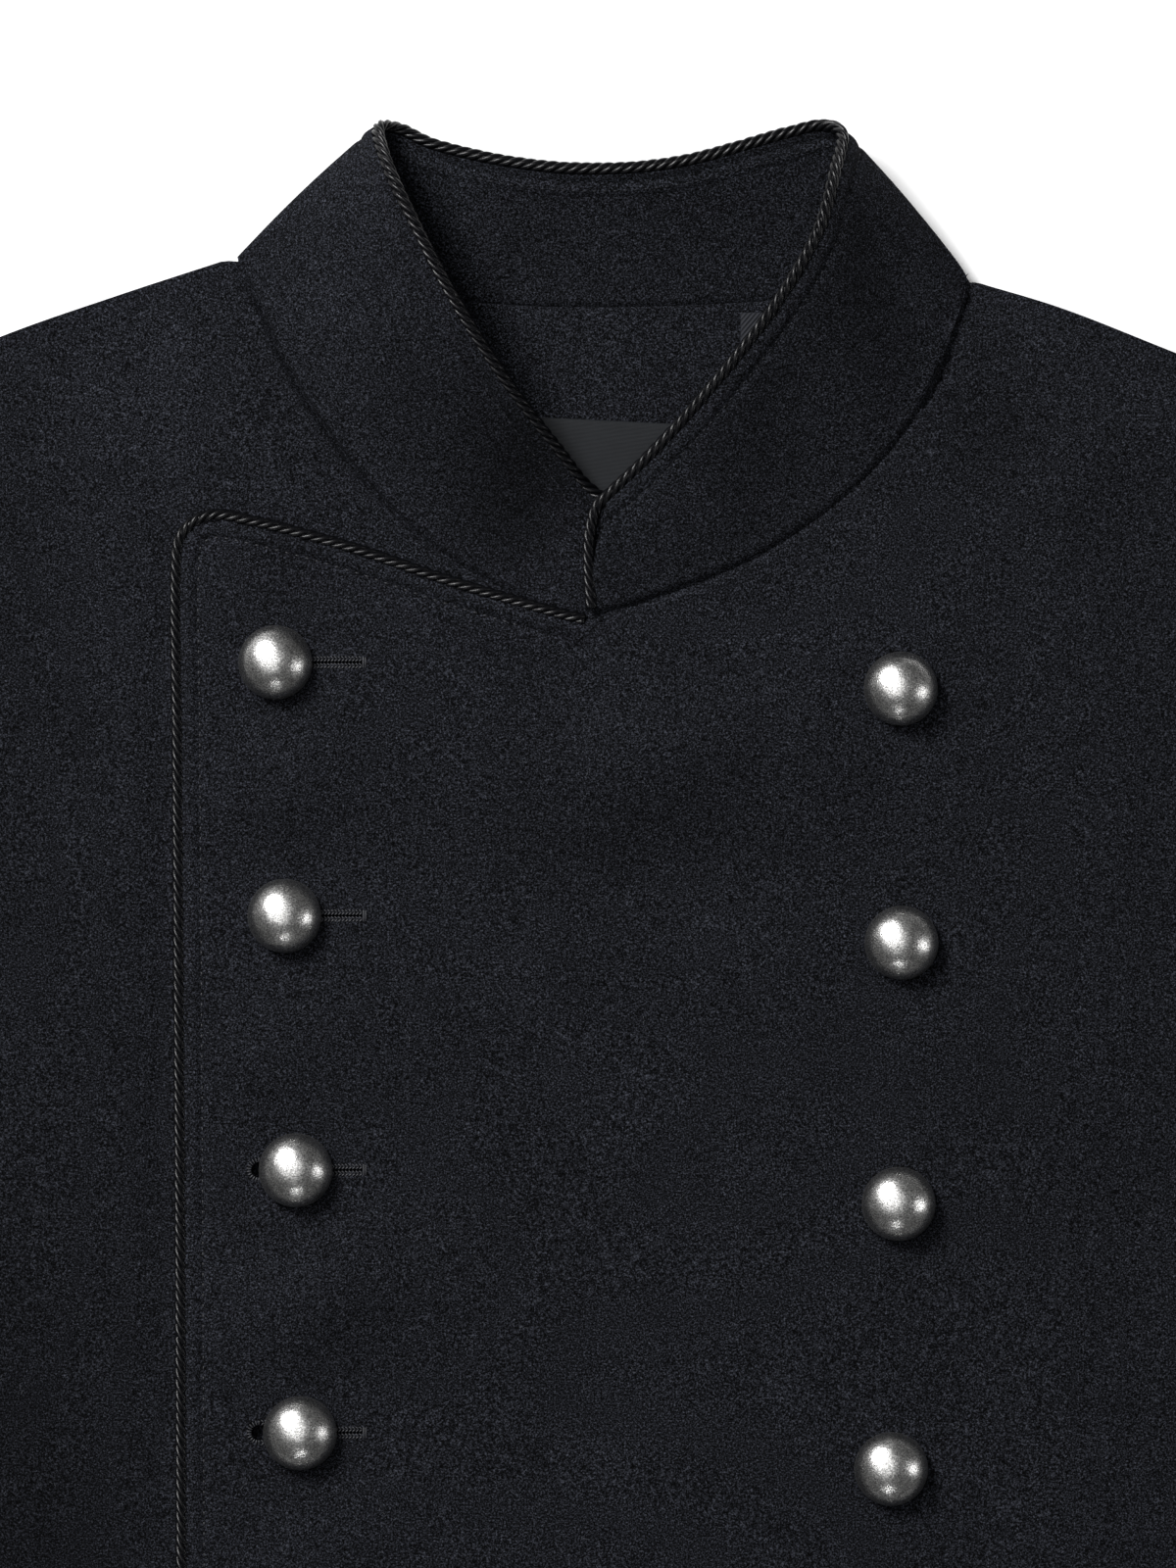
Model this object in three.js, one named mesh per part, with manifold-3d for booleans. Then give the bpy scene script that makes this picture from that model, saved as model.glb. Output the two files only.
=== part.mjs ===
// Double-breasted cropped wool jacket, laid flat on its back with its left front buttoned over its right.
// Millimetres. X runs across the body, with the wearer's left at +X, Y runs up to the collar and Z up
// from the surface. The origin lies on that surface, on the centre line, level with the underarms.

import * as THREE from 'three';
import { mergeVertices } from 'three/addons/utils/BufferGeometryUtils.js';
import Module from 'manifold-3d';

const wasm = await Module();
wasm.setup();

// Driving dimensions
const CLOTH = 2.4;
const SEAM_GAP = 0.3;
const LAYER_GAP = 0.8;
const SEAM_INSET = 0.6;
const HEM_Y = -250;
const HEM_HALF_WIDTH = 245;
const CORD_DIAMETER = 3.3;
const CORD_SIDES = 8;
const CORD_LIFT = 0.4;
const BUTTON_DIAMETER = 20;
const BUTTON_HEIGHT = 8.8;
const SHANK_RADIUS = 1.2;
const SLEEVE_HEIGHT = 8.5;

// Heights of the layers above the surface
const FRONT_SEAM_LEVEL = CLOTH + SEAM_GAP;
const FRONT_LIFT = 0.5;
const NECK_LIFT = 2.6;
const LAYER_STEP = CLOTH + LAYER_GAP;
const FACING = { low: CLOTH + SEAM_GAP, thick: 1.6 };
const TRIM = { low: FACING.low + FACING.thick + SEAM_GAP, thick: 0.8 };
const COLLAR_BACK_LEVEL = 2.6;
const COLLAR_FOLD_LEVEL = 3.3;

// Collar: a row for each section round the neck, from the wearer's right front to the left front.
// x, y lie on the neck seam, and the top columns on the middle of the cord along the upper edge.
const COLLAR = [
  { on: 'under', x: 3.5, y: 154, topX: 3.5, topY: 186.1, topZ: 8.5 },
  { on: 'under', x: -9.1, y: 155.9, topX: -2.9, topY: 190.8, topZ: 9.5 },
  { on: 'under', x: -21.1, y: 160.7, topX: -9.9, topY: 199.5, topZ: 13.5 },
  { on: 'under', x: -45.1, y: 174.9, topX: -25.2, topY: 219.5, topZ: 23 },
  { on: 'under', x: -65.9, y: 196.2, topX: -38.4, topY: 240.3, topZ: 29 },
  { on: 'under', x: -82.5, y: 220.8, topX: -48.6, topY: 259.8, topZ: 31 },
  { on: 'under', x: -92.6, y: 242.7, topX: -56.4, topY: 276.7, topZ: 27.5 },
  { on: 'fold', x: -96.8, y: 252.3, topX: -58.7, topY: 287.2, topZ: 18 },
  { on: 'back', x: -88.5, y: 249.9, topX: -53.5, topY: 287.3, topZ: 12.5 },
  { on: 'back', x: -70.7, y: 246, topX: -44.5, topY: 283.2, topZ: 11.5 },
  { on: 'back', x: -23.8, y: 240.4, topX: -13, topY: 276.9, topZ: 13.5 },
  { on: 'back', x: 27, y: 240.4, topX: 18.9, topY: 277.7, topZ: 13.5 },
  { on: 'back', x: 73.9, y: 243.6, topX: 50.9, topY: 286.1, topZ: 11.5 },
  { on: 'back', x: 92.3, y: 245.6, topX: 60.7, topY: 288.2, topZ: 12.5 },
  { on: 'fold', x: 100.3, y: 246.9, topX: 65.9, topY: 285.9, topZ: 18 },
  { on: 'over', x: 98.2, y: 236, topX: 63.9, topY: 274.5, topZ: 27.5 },
  { on: 'over', x: 88.3, y: 212.7, topX: 59.4, topY: 258.4, topZ: 31 },
  { on: 'over', x: 69.6, y: 190, topX: 48.6, topY: 239.5, topZ: 29 },
  { on: 'over', x: 42.9, y: 171.3, topX: 33.1, topY: 219.4, topZ: 24.5 },
  { on: 'over', x: 14.9, y: 159.9, topX: 15.7, topY: 200, topZ: 19 },
  { on: 'over', x: -1.2, y: 154.8, topX: 0.5, topY: 185.6, topZ: 14.8 },
];
const ROWS = { rightFold: 7, leftFold: 14, last: COLLAR.length - 1, clothEnd: COLLAR.length - 1.16 };
const COLLAR_STEPS_PER_ROW = 3;
const COLLAR_STEPS_UP = 5;
const COLLAR_BULGE = 1.5;
const NECK_CENTRE = new THREE.Vector3(0, 205, 0);

// The cord goes on down the collar's front end, from its upper corner to the neck seam
const COLLAR_END_CORD = [
  { x: -1.6, y: 179.2, z: 13.8 },
  { x: -2.1, y: 170, z: 12.9 },
  { x: -1.4, y: 157.6, z: 12.2 },
];

// Middle of the cord on the overlapping front, from the hem up, round the corner and to the neck
const FLAP_EDGE = [
  { x: -112, y: HEM_Y },
  { x: -112.8, y: -23 },
  { x: -113.6, y: 120 },
  { x: -113.9, y: 168 },
  { x: -112.9, y: 176.5 },
  { x: -109.2, y: 180.9 },
  { x: -103.5, y: 182.8 },
  { x: -94.9, y: 181.5 },
  { x: -67.7, y: 174.3 },
  { x: -40.5, y: 165.1 },
  { x: -13.1, y: 156.9 },
  { x: -3.4, y: 154.3 },
];
const FLAP_CORNER_ROW = 5;

// Shoulder seams from the neck to the sleeve head, and one armhole and side, mirrored for the other
const SHOULDER_RIGHT_SIDE = [
  { x: -101.5, y: 252 },
  { x: -130.8, y: 242.4 },
  { x: -162.8, y: 231.1 },
  { x: -220, y: 206 },
];
const SHOULDER_LEFT_SIDE = [
  { x: 103.8, y: 246 },
  { x: 125.6, y: 239.4 },
  { x: 157.3, y: 227 },
  { x: 220, y: 202 },
];
const ARMHOLE = [
  { x: 250, y: 0 },
  { x: 224, y: 34 },
  { x: 210, y: 90 },
  { x: 212, y: 150 },
];
const SIDE = [
  { x: HEM_HALF_WIDTH, y: HEM_Y },
  { x: 246, y: -125 },
  { x: 250, y: 0 },
];
const UNDERARM_SHARE = 0.52;

// Sleeve edges on the wearer's left, mirrored for the right
const OVERARM = [
  { x: 220, y: 202 },
  { x: 268, y: 158 },
  { x: 395, y: -38 },
  { x: 542, y: -303 },
];
const UNDERARM = [
  { x: 250, y: 0 },
  { x: 318, y: -152 },
  { x: 421, y: -373 },
];
const SLEEVE_FOLDS = [
  { along: 0.16, across: 0.55, length: 70, width: 22, turn: 0.9, rise: 1.2 },
  { along: 0.44, across: 0.62, length: 60, width: 16, turn: 0.5, rise: 1.4 },
  { along: 0.5, across: 0.4, length: 55, width: 14, turn: -0.2, rise: 1.1 },
  { along: 0.78, across: 0.5, length: 80, width: 20, turn: 1.1, rise: 0.9 },
];

// Soft swells of the laid fronts: place, half lengths along and across, turn in radians, and rise
const SWELLS = [
  { x: -50, y: 135, long: 46, wide: 22, turn: 0.2, rise: 1.5 },
  { x: 55, y: 118, long: 60, wide: 26, turn: 0.35, rise: 1.3 },
  { x: 4, y: 70, long: 70, wide: 24, turn: -0.1, rise: 1.7 },
  { x: -50, y: 38, long: 26, wide: 34, turn: 0, rise: 1 },
  { x: 45, y: 10, long: 80, wide: 40, turn: 0.3, rise: 1.1 },
  { x: -48, y: -32, long: 28, wide: 34, turn: 0, rise: 1 },
  { x: -10, y: -110, long: 90, wide: 45, turn: 0.1, rise: 1.2 },
  { x: -165, y: 120, long: 30, wide: 80, turn: 0.15, rise: 1.6 },
  { x: -155, y: -20, long: 28, wide: 90, turn: -0.05, rise: 1.1 },
  { x: 150, y: 110, long: 34, wide: 80, turn: -0.2, rise: 1.7 },
  { x: 165, y: -60, long: 36, wide: 100, turn: 0.05, rise: 1.2 },
  { x: -150, y: 205, long: 40, wide: 14, turn: -0.35, rise: 1.2 },
  { x: 140, y: 200, long: 44, wide: 14, turn: 0.35, rise: 1.4 },
];

// Buttons in two columns, top row first; those of the fastened column stand in keyhole buttonholes
const FASTENED_BUTTONS = [
  { x: -87, y: 142.9 },
  { x: -84.6, y: 74.3 },
  { x: -81.6, y: 5.4 },
  { x: -80.4, y: -65.8 },
  { x: -79.2, y: -137.1 },
];
const SHOW_BUTTONS = [
  { x: 82.2, y: 135.8 },
  { x: 82.5, y: 67 },
  { x: 81.7, y: -3.7 },
  { x: 79.7, y: -75.5 },
  { x: 78.1, y: -146.9 },
];
const BUTTONHOLE = { eyeletX: -91.6, eyeletRadius: 2.2, endX: -63.5, endHalfWidth: 0.5 };
const LABEL = { x: 3.5, y: 188.6, width: 85, height: 40, turn: -0.05 };
const HANGER_LOOP = { x: 43, top: 238, length: 26, width: 8 };

// Grid steps
const STEPS = {
  flap: 8, neck: 11, shoulder: 5, side: 8, armhole: 7, across: 4, sleeve: 11, fold: 2,
  cordSide: 22, cordCorner: 10, cordTop: 12,
};

// Materials
const material = (color, roughness, metalness = 0) =>
  new THREE.MeshStandardMaterial({ color, roughness, metalness });
const MELTON = { color: 0x191a1f, roughness: 0.95 };
const cloth = () => material(MELTON.color, MELTON.roughness);

const jacket = new THREE.Group();
const addPiece = (name, geometry, finish) => {
  const mesh = new THREE.Mesh(geometry, finish);
  mesh.name = name;
  jacket.add(mesh);
};

// Curves and grids
const toVector = ({ x, y, z = 0 }) => new THREE.Vector3(x, y, z);
const throughRows = (rows) => new THREE.CatmullRomCurve3(rows.map(toVector), false, 'centripetal');
const mirrored = (rows) => rows.map((row) => ({ ...row, x: -row.x }));
const evenly = (count) => Array.from({ length: count + 1 }, (_, i) => i / count);
const denserAtEnd = (t) => (t + Math.sin((t * Math.PI) / 2)) / 2;
const denserAtStart = (t) => (t + 1 - Math.cos((t * Math.PI) / 2)) / 2;
const sampled = (curve, shares) => shares.map((share) => curve.getPointAt(share));
const smooth = (t) => THREE.MathUtils.smoothstep(t, 0, 1);
const joined = (...parts) => parts.flatMap((part, i) => (i ? part.slice(1) : part));

// A patch is filled in from its four edges; u and v are the shares along them
function patch(bottom, top, left, right, u, v) {
  return v.map((vj, j) => u.map((ui, i) => {
    const point = new THREE.Vector3();
    point.addScaledVector(bottom[i], 1 - vj).addScaledVector(top[i], vj);
    point.addScaledVector(left[j], 1 - ui).addScaledVector(right[j], ui);
    point.addScaledVector(bottom[0], -(1 - ui) * (1 - vj));
    point.addScaledVector(bottom.at(-1), -ui * (1 - vj));
    point.addScaledVector(top[0], -(1 - ui) * vj);
    return point.addScaledVector(top.at(-1), -ui * vj);
  }));
}

// A closed wall between two like grids; a wall that goes round joins its last column to its first
function wallBetween(outer, inner, goesRound = false) {
  const rows = outer.length;
  const columns = outer[0].length;
  const positions = [...outer.flat(), ...inner.flat()].flatMap((p) => [p.x, p.y, p.z]);
  const index = [];
  const at = (face, j, i) => face * rows * columns + j * columns + (i % columns);
  const quad = (a, b, c, d) => index.push(a, b, c, a, c, d);
  const lastColumn = goesRound ? columns : columns - 1;
  for (let j = 0; j < rows - 1; j += 1) {
    for (let i = 0; i < lastColumn; i += 1) {
      quad(at(0, j, i), at(0, j, i + 1), at(0, j + 1, i + 1), at(0, j + 1, i));
      quad(at(1, j, i), at(1, j + 1, i), at(1, j + 1, i + 1), at(1, j, i + 1));
    }
  }
  for (let i = 0; i < lastColumn; i += 1) {
    quad(at(0, 0, i + 1), at(0, 0, i), at(1, 0, i), at(1, 0, i + 1));
    quad(at(0, rows - 1, i), at(0, rows - 1, i + 1), at(1, rows - 1, i + 1), at(1, rows - 1, i));
  }
  for (let j = 0; j < rows - 1 && !goesRound; j += 1) {
    quad(at(0, j, 0), at(0, j + 1, 0), at(1, j + 1, 0), at(1, j, 0));
    quad(at(0, j + 1, lastColumn), at(0, j, lastColumn), at(1, j, lastColumn), at(1, j + 1, lastColumn));
  }
  const geometry = new THREE.BufferGeometry();
  geometry.setAttribute('position', new THREE.Float32BufferAttribute(positions, 3));
  geometry.setIndex(index);
  return facingOut(geometry);
}

function facingOut(geometry) {
  const index = geometry.getIndex().array;
  const corner = (k) => new THREE.Vector3().fromBufferAttribute(geometry.getAttribute('position'), index[k]);
  let volume = 0;
  for (let k = 0; k < index.length; k += 3) {
    volume += corner(k).dot(corner(k + 1).cross(corner(k + 2)));
  }
  if (volume < 0) {
    index.reverse();
  }
  geometry.computeVertexNormals();
  return geometry;
}

const raised = (grid, level) => grid.map((row) => row.map((p) => new THREE.Vector3(p.x, p.y, level(p))));
const slab = (grid, level, thick) => wallBetween(raised(grid, (p) => level(p) + thick), raised(grid, level));

// Outline of the body
const shares = {
  side: evenly(STEPS.side).map(denserAtStart),
  armhole: evenly(STEPS.armhole).map(denserAtEnd),
};
const rowsUp = joined(
  shares.side.map((t) => t * UNDERARM_SHARE),
  shares.armhole.map((t) => UNDERARM_SHARE + t * (1 - UNDERARM_SHARE)),
);
const shoulderCurve = { left: throughRows(SHOULDER_LEFT_SIDE), right: throughRows(SHOULDER_RIGHT_SIDE) };
const armhole = {
  left: sampled(throughRows([...ARMHOLE, SHOULDER_LEFT_SIDE.at(-1)]), shares.armhole),
  right: sampled(throughRows([...mirrored(ARMHOLE), SHOULDER_RIGHT_SIDE.at(-1)]), shares.armhole),
};
const side = {
  left: sampled(throughRows(SIDE), shares.side),
  right: sampled(throughRows(mirrored(SIDE)), shares.side),
};
const outerEdge = { left: joined(side.left, armhole.left), right: joined(side.right, armhole.right) };
const shoulder = {
  left: sampled(shoulderCurve.left, evenly(STEPS.shoulder).map(denserAtStart)),
  right: sampled(shoulderCurve.right, evenly(STEPS.shoulder).map(denserAtStart)),
};

// Height of the cloth: down on the back along every seam, up over the neck pieces and the swells
function distanceTo(line, point) {
  const flat = new THREE.Vector3(point.x, point.y, 0);
  const nearest = new THREE.Vector3();
  const distances = line.slice(1).map((end, i) => {
    new THREE.Line3(line[i], end).closestPointToPoint(flat, true, nearest);
    return nearest.distanceTo(flat);
  });
  return Math.min(...distances);
}

const EDGE_ROLL = 25;
const HEM_ROLL = 45;
const rollOver = (distance, reach) => 1 - (1 - Math.min(distance / reach, 1)) ** 2;

function swell(rows, x, y) {
  return rows.reduce((sum, row) => {
    const dx = x - row.x;
    const dy = y - row.y;
    const along = (dx * Math.cos(row.turn) + dy * Math.sin(row.turn)) / row.long;
    const across = (dy * Math.cos(row.turn) - dx * Math.sin(row.turn)) / row.wide;
    return sum + row.rise * Math.exp(-along * along - across * across);
  }, 0);
}

const NECK_PLATEAU = { full: 88, gone: 165 };
function lowerFrontLevel(point) {
  const seams = Math.min(
    distanceTo([...outerEdge.left, ...shoulder.left.slice().reverse()], point),
    distanceTo([...outerEdge.right, ...shoulder.right.slice().reverse()], point),
  );
  const roll = rollOver(seams, EDGE_ROLL) * rollOver(point.y - HEM_Y, HEM_ROLL);
  const fromNeck = Math.hypot(point.x - NECK_CENTRE.x, point.y - NECK_CENTRE.y);
  const neck = smooth((NECK_PLATEAU.gone - fromNeck) / (NECK_PLATEAU.gone - NECK_PLATEAU.full));
  return FRONT_SEAM_LEVEL + (FRONT_LIFT + NECK_LIFT * neck + swell(SWELLS, point.x, point.y)) * roll;
}

// The overlapping front steps down to the back beyond the hidden edge of the front beneath it
const HIDDEN_EDGE_X = 118;
const STEP_WIDTH = 46;
const SHOULDER_STEP = 30;
function upperFrontLevel(point) {
  const past = smooth((HIDDEN_EDGE_X + STEP_WIDTH - point.x) / STEP_WIDTH);
  const fromShoulder = rollOver(distanceTo(shoulder.left, point), SHOULDER_STEP);
  return lowerFrontLevel(point) + LAYER_STEP * past * fromShoulder;
}

// Collar stations, shared by the neck edges of the panels
const seamLevel = {
  under: (point) => lowerFrontLevel(point) + CLOTH / 2,
  over: (point) => upperFrontLevel(point) + CLOTH / 2,
  back: () => COLLAR_BACK_LEVEL,
  fold: () => COLLAR_FOLD_LEVEL,
};
const neckSeam = throughRows(COLLAR.map(({ on, x, y }) => ({ x, y, z: seamLevel[on]({ x, y }) })));
const collarTop = throughRows(COLLAR.map(({ topX, topY, topZ }) => ({ x: topX, y: topY, z: topZ })));
const atRow = (curve, row) => curve.getPoint(row / ROWS.last);

// Neck edge of a panel, set off from the seam: away from the neck on the fronts, towards it on the back
function neckEdge(fromRow, toRow, setOff) {
  const stations = evenly(STEPS.neck).map((t) => fromRow + t * (toRow - fromRow));
  return stations.map((row) => {
    const point = atRow(neckSeam, row).setZ(0);
    return point.addScaledVector(point.clone().sub(NECK_CENTRE).normalize(), setOff);
  });
}
const resampled = (points, count) => sampled(new THREE.CatmullRomCurve3(points), evenly(count));
const hemLine = (xs) => xs.map((x) => new THREE.Vector3(x, HEM_Y, 0));
const between = (from, to, count) => evenly(count).map((t) => from + t * (to - from));
const fractions = (points) => {
  const width = points.at(-1).x - points[0].x;
  return points.map((point) => (point.x - points[0].x) / width);
};

// Back: one panel, flat on the surface
const backNeck = resampled(
  [shoulder.right[0], ...neckEdge(ROWS.rightFold + 1, ROWS.leftFold - 1, -SEAM_INSET), shoulder.left[0]],
  STEPS.neck,
);
const backHem = hemLine(joined(
  between(-HEM_HALF_WIDTH, shoulder.right[0].x, STEPS.shoulder),
  between(shoulder.right[0].x, shoulder.left[0].x, STEPS.neck),
  between(shoulder.left[0].x, HEM_HALF_WIDTH, STEPS.shoulder),
));
const backGrid = patch(
  backHem,
  joined(shoulder.right.slice().reverse(), backNeck, shoulder.left),
  outerEdge.right,
  outerEdge.left,
  fractions(backHem),
  rowsUp,
);
addPiece('back', slab(backGrid, () => 0, CLOTH), cloth());

// Back neck facing, label and hanger loop, which lie on the inside of the back
const FACING_HALF_WIDTH = 85;
const FACING_FOOT = [
  { x: -92, y: 212 },
  { x: -62, y: 170 },
  { x: 0, y: 150 },
  { x: 62, y: 168 },
  { x: 94, y: 208 },
];
const facingNeck = neckEdge(ROWS.rightFold + 1.2, ROWS.leftFold - 1.2, -SEAM_INSET - CLOTH / 2);
const facingFoot = sampled(throughRows(FACING_FOOT), evenly(STEPS.neck));
const facingSide = (index) => evenly(STEPS.across).map((t) => facingFoot.at(index).clone().lerp(facingNeck.at(index), t));
const facingGrid = patch(
  facingFoot,
  facingNeck,
  facingSide(0),
  facingSide(-1),
  evenly(STEPS.neck),
  evenly(STEPS.across),
);
addPiece('back_neck_facing', slab(facingGrid, () => FACING.low, FACING.thick), cloth());

const label = new THREE.BoxGeometry(LABEL.width, LABEL.height, TRIM.thick);
label.rotateZ(LABEL.turn).translate(LABEL.x, LABEL.y, TRIM.low + TRIM.thick / 2);
addPiece('neck_label', label, material(0x26272c, 0.45));

const loop = new THREE.BoxGeometry(HANGER_LOOP.width, HANGER_LOOP.length, TRIM.thick);
loop.translate(HANGER_LOOP.x, HANGER_LOOP.top - HANGER_LOOP.length / 2, TRIM.low + TRIM.thick / 2);
addPiece('hanger_loop', loop, material(0x2b2c31, 0.7));

// Front beneath: the overlapping front's pattern mirrored, its free edge hidden
const flapCurve = throughRows(FLAP_EDGE);
const clothInset = CORD_DIAMETER / 2 + SEAM_GAP;
function flapCloth(share) {
  const t = flapCurve.getUtoTmapping(share);
  const tangent = flapCurve.getTangent(t).setZ(0).normalize();
  const inward = new THREE.Vector3(tangent.y, -tangent.x, 0);
  return flapCurve.getPoint(t).addScaledVector(inward, clothInset);
}
function shareOfRow(curve, row, rowCount) {
  const lengths = curve.getLengths(400);
  return lengths[Math.round((400 * row) / (rowCount - 1))] / lengths.at(-1);
}
const cornerShare = shareOfRow(flapCurve, FLAP_CORNER_ROW, FLAP_EDGE.length);
const flapSide = rowsUp.map((v) => flapCloth(v * cornerShare));
const flapTop = evenly(STEPS.flap).map((t) => flapCloth(cornerShare + t * (1 - cornerShare)));
const flapPoint = (point) => new THREE.Vector3(-point.x, point.y, 0);

const underNeck = resampled(
  [...neckEdge(0, ROWS.rightFold - 0.5, SEAM_INSET), shoulder.right[0]],
  STEPS.neck,
);
const underHem = hemLine(joined(
  between(-HEM_HALF_WIDTH, shoulder.right[0].x, STEPS.shoulder),
  between(shoulder.right[0].x, 0, STEPS.neck),
  between(0, -flapSide[0].x, STEPS.flap),
));
const underGrid = patch(
  underHem,
  joined(
    shoulder.right.slice().reverse(),
    underNeck.slice().reverse(),
    [underNeck[0], ...flapTop.slice(0, -1).reverse().map(flapPoint)],
  ),
  outerEdge.right,
  flapSide.map(flapPoint),
  fractions(underHem),
  rowsUp,
);
addPiece('front_under', slab(underGrid, lowerFrontLevel, CLOTH), cloth());

// Overlapping front, with a keyhole buttonhole cut for each fastened button
const overNeck = resampled(
  [flapTop.at(-1), ...neckEdge(ROWS.leftFold + 0.5, ROWS.clothEnd, SEAM_INSET).reverse(), shoulder.left[0]],
  STEPS.neck,
);
const overHem = hemLine(joined(
  between(flapSide[0].x, 0, STEPS.flap),
  between(0, shoulder.left[0].x, STEPS.neck),
  between(shoulder.left[0].x, HEM_HALF_WIDTH, STEPS.shoulder),
));
const overGrid = patch(
  overHem,
  joined(flapTop, overNeck, shoulder.left),
  flapSide,
  outerEdge.left,
  fractions(overHem),
  rowsUp,
);

function asSolid(geometry) {
  const bare = geometry.clone();
  bare.deleteAttribute('normal');
  bare.deleteAttribute('uv');
  const merged = mergeVertices(bare, 1e-4);
  const vertProperties = new Float32Array(merged.getAttribute('position').array);
  const triVerts = new Uint32Array(merged.getIndex().array);
  return new wasm.Manifold(new wasm.Mesh({ numProp: 3, vertProperties, triVerts }));
}

function asGeometry(solid) {
  const { vertProperties, triVerts } = solid.getMesh();
  const geometry = new THREE.BufferGeometry();
  geometry.setAttribute('position', new THREE.BufferAttribute(vertProperties, 3));
  geometry.setIndex(new THREE.BufferAttribute(triVerts, 1));
  geometry.computeVertexNormals();
  return geometry;
}

function buttonholeCutter({ y }) {
  const { eyeletX, eyeletRadius, endX, endHalfWidth } = BUTTONHOLE;
  const shape = new THREE.Shape();
  shape.moveTo(endX, y - endHalfWidth);
  shape.lineTo(endX, y + endHalfWidth);
  shape.absarc(eyeletX, y, eyeletRadius, Math.PI / 2, (3 * Math.PI) / 2, false);
  shape.closePath();
  return new THREE.ExtrudeGeometry(shape, { depth: 30, bevelEnabled: false, curveSegments: 6 });
}

const overPlain = asSolid(slab(overGrid, upperFrontLevel, CLOTH));
const overCut = FASTENED_BUTTONS.reduce(
  (solid, button) => solid.subtract(asSolid(buttonholeCutter(button))),
  overPlain,
);
addPiece('front_over', asGeometry(overCut), cloth());

// Sleeves: one flattened tube each, open at the armhole and the cuff, with a rounded fold at each edge
function flatTube(grid, heights, lift) {
  const ring = (row, height, inset) => {
    const radius = height / 2;
    const fold = (edge, neighbour, from) => {
      const outward = edge.clone().sub(neighbour).setZ(0).normalize();
      const middle = edge.clone().addScaledVector(outward, -radius).setZ(radius);
      return evenly(STEPS.fold * 2).map((t) => {
        const angle = from * (Math.PI / 2) * (1 - 2 * t);
        const reach = radius - inset;
        return middle.clone()
          .addScaledVector(outward, reach * Math.cos(angle))
          .setZ(radius + reach * Math.sin(angle));
      });
    };
    const inner = row.slice(1, -1);
    const upper = inner.map((p) => p.clone().setZ(height - inset + lift(p)));
    const lower = inner.map((p) => p.clone().setZ(inset)).reverse();
    return [...upper, ...fold(row.at(-1), row.at(-2), 1), ...lower, ...fold(row[0], row[1], -1)];
  };
  return wallBetween(
    grid.map((row, i) => ring(row, heights[i], 0)),
    grid.map((row, i) => ring(row, heights[i], CLOTH)),
    true,
  );
}

const sleeveShares = evenly(STEPS.sleeve).map((t) => 0.35 * denserAtStart(t) + 0.65 * t);
const SLEEVE_HEAD_HEIGHT = FRONT_SEAM_LEVEL + CLOTH;
const SLEEVE_HEAD_LENGTH = 0.12;
const SLEEVE_SET_OFF = { shoulder: 0.5, underarm: 1 };
const sleeveHeights = sleeveShares.map(
  (t) => SLEEVE_HEAD_HEIGHT + (SLEEVE_HEIGHT - SLEEVE_HEAD_HEIGHT) * smooth(t / SLEEVE_HEAD_LENGTH),
);

function addSleeve(name, sign, head) {
  const armholeEdge = head.slice().reverse().map((p, i) => {
    const setOff = SLEEVE_SET_OFF.shoulder + SLEEVE_SET_OFF.underarm * (i / STEPS.armhole) ** 2;
    return p.clone().setX(p.x + sign * setOff);
  });
  const onSide = (rows) => (sign < 0 ? mirrored(rows) : rows);
  const overarm = sampled(throughRows([armholeEdge[0], ...onSide(OVERARM.slice(1))]), sleeveShares);
  const underarm = sampled(throughRows([armholeEdge.at(-1), ...onSide(UNDERARM.slice(1))]), sleeveShares);
  const across = evenly(STEPS.armhole);
  const cuff = across.map((t) => overarm.at(-1).clone().lerp(underarm.at(-1), t));
  const grid = patch(armholeEdge, cuff, overarm, underarm, across, sleeveShares);
  const folds = SLEEVE_FOLDS.map((row) => {
    const place = overarm[0].clone().lerp(overarm.at(-1), row.along)
      .lerp(underarm[0].clone().lerp(underarm.at(-1), row.along), row.across);
    return { x: place.x, y: place.y, long: row.length, wide: row.width, turn: sign * row.turn, rise: row.rise };
  });
  addPiece(name, flatTube(grid, sleeveHeights, (p) => swell(folds, p.x, p.y)), cloth());
}
addSleeve('sleeve_left', 1, armhole.left);
addSleeve('sleeve_right', -1, armhole.right);

// Collar: one standing band, seamed to the neck edges and leaning over the neck opening
const collarStations = evenly(ROWS.last * COLLAR_STEPS_PER_ROW).map((t) => t * ROWS.clothEnd);
function collarPoint(row, share) {
  const foot = atRow(neckSeam, row);
  const head = atRow(collarTop, row);
  const height = foot.distanceTo(head);
  const slant = collarTop.getTangent(row / ROWS.last).angleTo(head.clone().sub(foot));
  const low = SEAM_INSET / height;
  const high = 1 - (CORD_DIAMETER / 2 + SEAM_GAP) / (height * Math.sin(slant));
  return foot.lerp(head, low + share * (high - low));
}
function collarNormal(row, share) {
  const step = 0.05;
  const round = collarPoint(Math.min(row + step, ROWS.last), share)
    .sub(collarPoint(Math.max(row - step, 0), share));
  const up = collarPoint(row, 1).sub(collarPoint(row, 0));
  return up.cross(round).normalize();
}
function collarFace(offset) {
  return evenly(COLLAR_STEPS_UP).map((share) => collarStations.map((row) => {
    const bulge = COLLAR_BULGE * Math.sin(Math.PI * share);
    return collarPoint(row, share).addScaledVector(collarNormal(row, share), bulge + offset);
  }));
}
addPiece('collar', wallBetween(collarFace(CLOTH / 2), collarFace(-CLOTH / 2)), cloth());

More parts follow.
